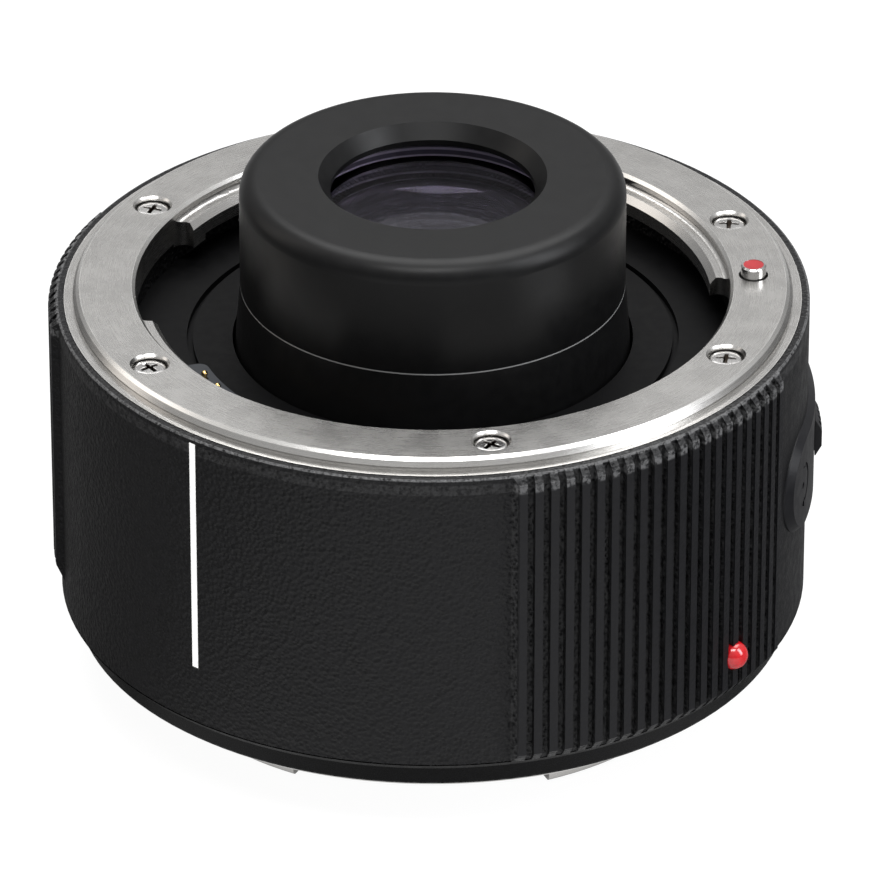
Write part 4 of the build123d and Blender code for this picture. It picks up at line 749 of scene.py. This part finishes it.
def makeFloor(look):
    half, level = look["halfSide"], cadLow[2]
    mesh = bpy.data.meshes.new("studioFloor")
    corners = [(-half, -half, level), (half, -half, level), (half, half, level), (-half, half, level)]
    mesh.from_pydata(corners, [], [(0, 1, 2, 3)])
    floor = newPiece("studioFloor", mesh)
    material = bpy.data.materials.new("paleFloor")
    material.use_nodes = True
    tree = material.node_tree
    tree.nodes.clear()
    path = addNode(tree, "ShaderNodeLightPath").outputs
    matt = addNode(tree, "ShaderNodeBsdfDiffuse", {"Color": gray(look["color"])})
    dim = addNode(tree, "ShaderNodeBsdfDiffuse", {"Color": gray(look["dimColor"])})
    spot = addNode(tree, "ShaderNodeTexCoord").outputs["Object"]
    x, y = addNode(tree, "ShaderNodeSeparateXYZ", {0: spot}).outputs[:2]
    reach = flatLength(tree, x, y)
    facing = over(tree, times(tree, y, -1.0), reach)
    mirrored = plus(tree, remap(tree, facing, *look["frontSpan"], look["mirroredSides"], look["mirroredFront"]),
                    remap(tree, facing, *look["backSpan"], look["mirroredBack"], 0.0))
    strength = blend(tree, path["Is Glossy Ray"], look["glow"], mirrored)
    # painted shadow: no glow under the part, except for camera rays
    outsidePaintedShadow = remap(tree, reach, look["paintedShadowReach"] * look["paintedShadowCoreShare"], look["paintedShadowReach"])
    strength = times(tree, strength, larger(tree, path["Is Camera Ray"], outsidePaintedShadow))
    glow = addNode(tree, "ShaderNodeEmission", {"Color": gray(1.0), "Strength": strength})
    bright = addNode(tree, "ShaderNodeAddShader", {0: dim.outputs[0], 1: glow.outputs[0]})
    seen = larger(tree, path["Is Camera Ray"], larger(tree, path["Is Glossy Ray"], path["Is Transmission Ray"]))
    surface = addNode(tree, "ShaderNodeMixShader", {0: seen, 1: matt.outputs[0], 2: bright.outputs[0]})
    clear = addNode(tree, "ShaderNodeBsdfTransparent")      # from below the floor isn't there
    back = addNode(tree, "ShaderNodeNewGeometry").outputs["Backfacing"]
    result = addNode(tree, "ShaderNodeMixShader", {0: back, 1: surface.outputs[0], 2: clear.outputs[0]})
    addNode(tree, "ShaderNodeOutputMaterial", {"Surface": result.outputs[0]})
    floor.data.materials.append(material)


worldLook = {"ambient": 0.14, "reflectedHorizon": 0.2, "reflectedTop": 0.62, "skySpan": (-0.1, 0.7)}


def makeWorld(look):
    world = bpy.data.worlds.new("studioWorld")
    world.use_nodes = True
    bpy.context.scene.world = world
    tree = world.node_tree
    tree.nodes.clear()
    path = addNode(tree, "ShaderNodeLightPath").outputs
    direction = addNode(tree, "ShaderNodeTexCoord").outputs["Generated"]
    upward = addNode(tree, "ShaderNodeSeparateXYZ", {0: direction}).outputs[2]
    sky = remap(tree, upward, *look["skySpan"], look["reflectedHorizon"], look["reflectedTop"])
    mirrored = larger(tree, path["Is Glossy Ray"], path["Is Transmission Ray"])
    strength = blend(tree, mirrored, look["ambient"], sky)
    strength = blend(tree, path["Is Camera Ray"], strength, 1.0)
    back = addNode(tree, "ShaderNodeBackground", {"Color": gray(1.0), "Strength": strength})
    addNode(tree, "ShaderNodeOutputWorld", {"Surface": back.outputs[0]})


lampAim = Vector((0, 0, 0.02))
lampLooks = {
    "topSoftbox": {
        "azimuth": 80.0, "elevation": 68.0, "distance": 0.9, "size": (0.9, 0.7), "power": 8.5,
        "color": (1.0, 1.0, 1.0),
    },
    "leftSoftbox": {
        "azimuth": 165.0, "elevation": 30.0, "distance": 0.9, "size": (0.3, 0.8), "power": 1.0,
        "color": (1.0, 0.93, 0.86),
    },
    "rightSoftbox": {
        "azimuth": -20.0, "elevation": 32.0, "distance": 1.0, "size": (0.35, 0.8), "power": 7.0,
        "color": (0.95, 0.97, 1.0),
    },
    "frontSoftbox": {
        "azimuth": 268.0, "elevation": 64.0, "distance": 1.0, "size": (0.6, 0.25), "power": 5.0,
        "color": (1.0, 1.0, 1.0),
    },
}


def makeLamp(name, look):
    lamp = bpy.data.lights.new(name, "AREA")
    lamp.shape = "RECTANGLE"
    lamp.size, lamp.size_y = look["size"]
    lamp.energy = look["power"]
    lamp.color = look["color"]
    holder = newPiece(name, lamp)
    a, e = math.radians(look["azimuth"]), math.radians(look["elevation"])
    way = Vector((math.cos(e) * math.cos(a), math.cos(e) * math.sin(a), math.sin(e)))
    holder.location = way * look["distance"] + lampAim
    holder.rotation_euler = way.to_track_quat("Z", "Y").to_euler()


makeFloor(floorLook)
makeWorld(worldLook)
for lampName, lampLook in lampLooks.items():
    makeLamp(lampName, lampLook)
print("studio lit by", len(lampLooks), "lamps")

cameraLook = {
    "focalPixels": 9000.0, "imagePixels": 870.0, "elevation": 28.83, "distance": 0.882505,
    "flangePixel": (432.757, 280.606), "flangeHeight": 0.0363, "sensorWidth": 36.0, "near": 0.02, "far": 50.0,
}


def makeCamera(look):
    camera = bpy.data.cameras.new("photoCamera")
    camera.sensor_width = look["sensorWidth"]
    camera.lens = look["focalPixels"] / look["imagePixels"] * camera.sensor_width
    camera.clip_start = look["near"]
    camera.clip_end = look["far"]
    holder = newPiece("photoCamera", camera)
    flange = Vector((0, 0, look["flangeHeight"]))
    e = math.radians(look["elevation"])
    holder.location = flange + look["distance"] * Vector((0, -math.cos(e), math.sin(e)))
    middle = look["imagePixels"] / 2
    toFlange = Vector(((look["flangePixel"][0] - middle) / look["focalPixels"],
                       (middle - look["flangePixel"][1]) / look["focalPixels"], -1)).normalized()
    straight = (flange - holder.location).to_track_quat("-Z", "Y")
    holder.rotation_mode = "QUATERNION"
    holder.rotation_quaternion = straight @ toFlange.rotation_difference(Vector((0, 0, -1)))
    bpy.context.scene.camera = holder


makeCamera(cameraLook)
bpy.context.scene.view_settings.view_transform = "Standard"
print("camera set")
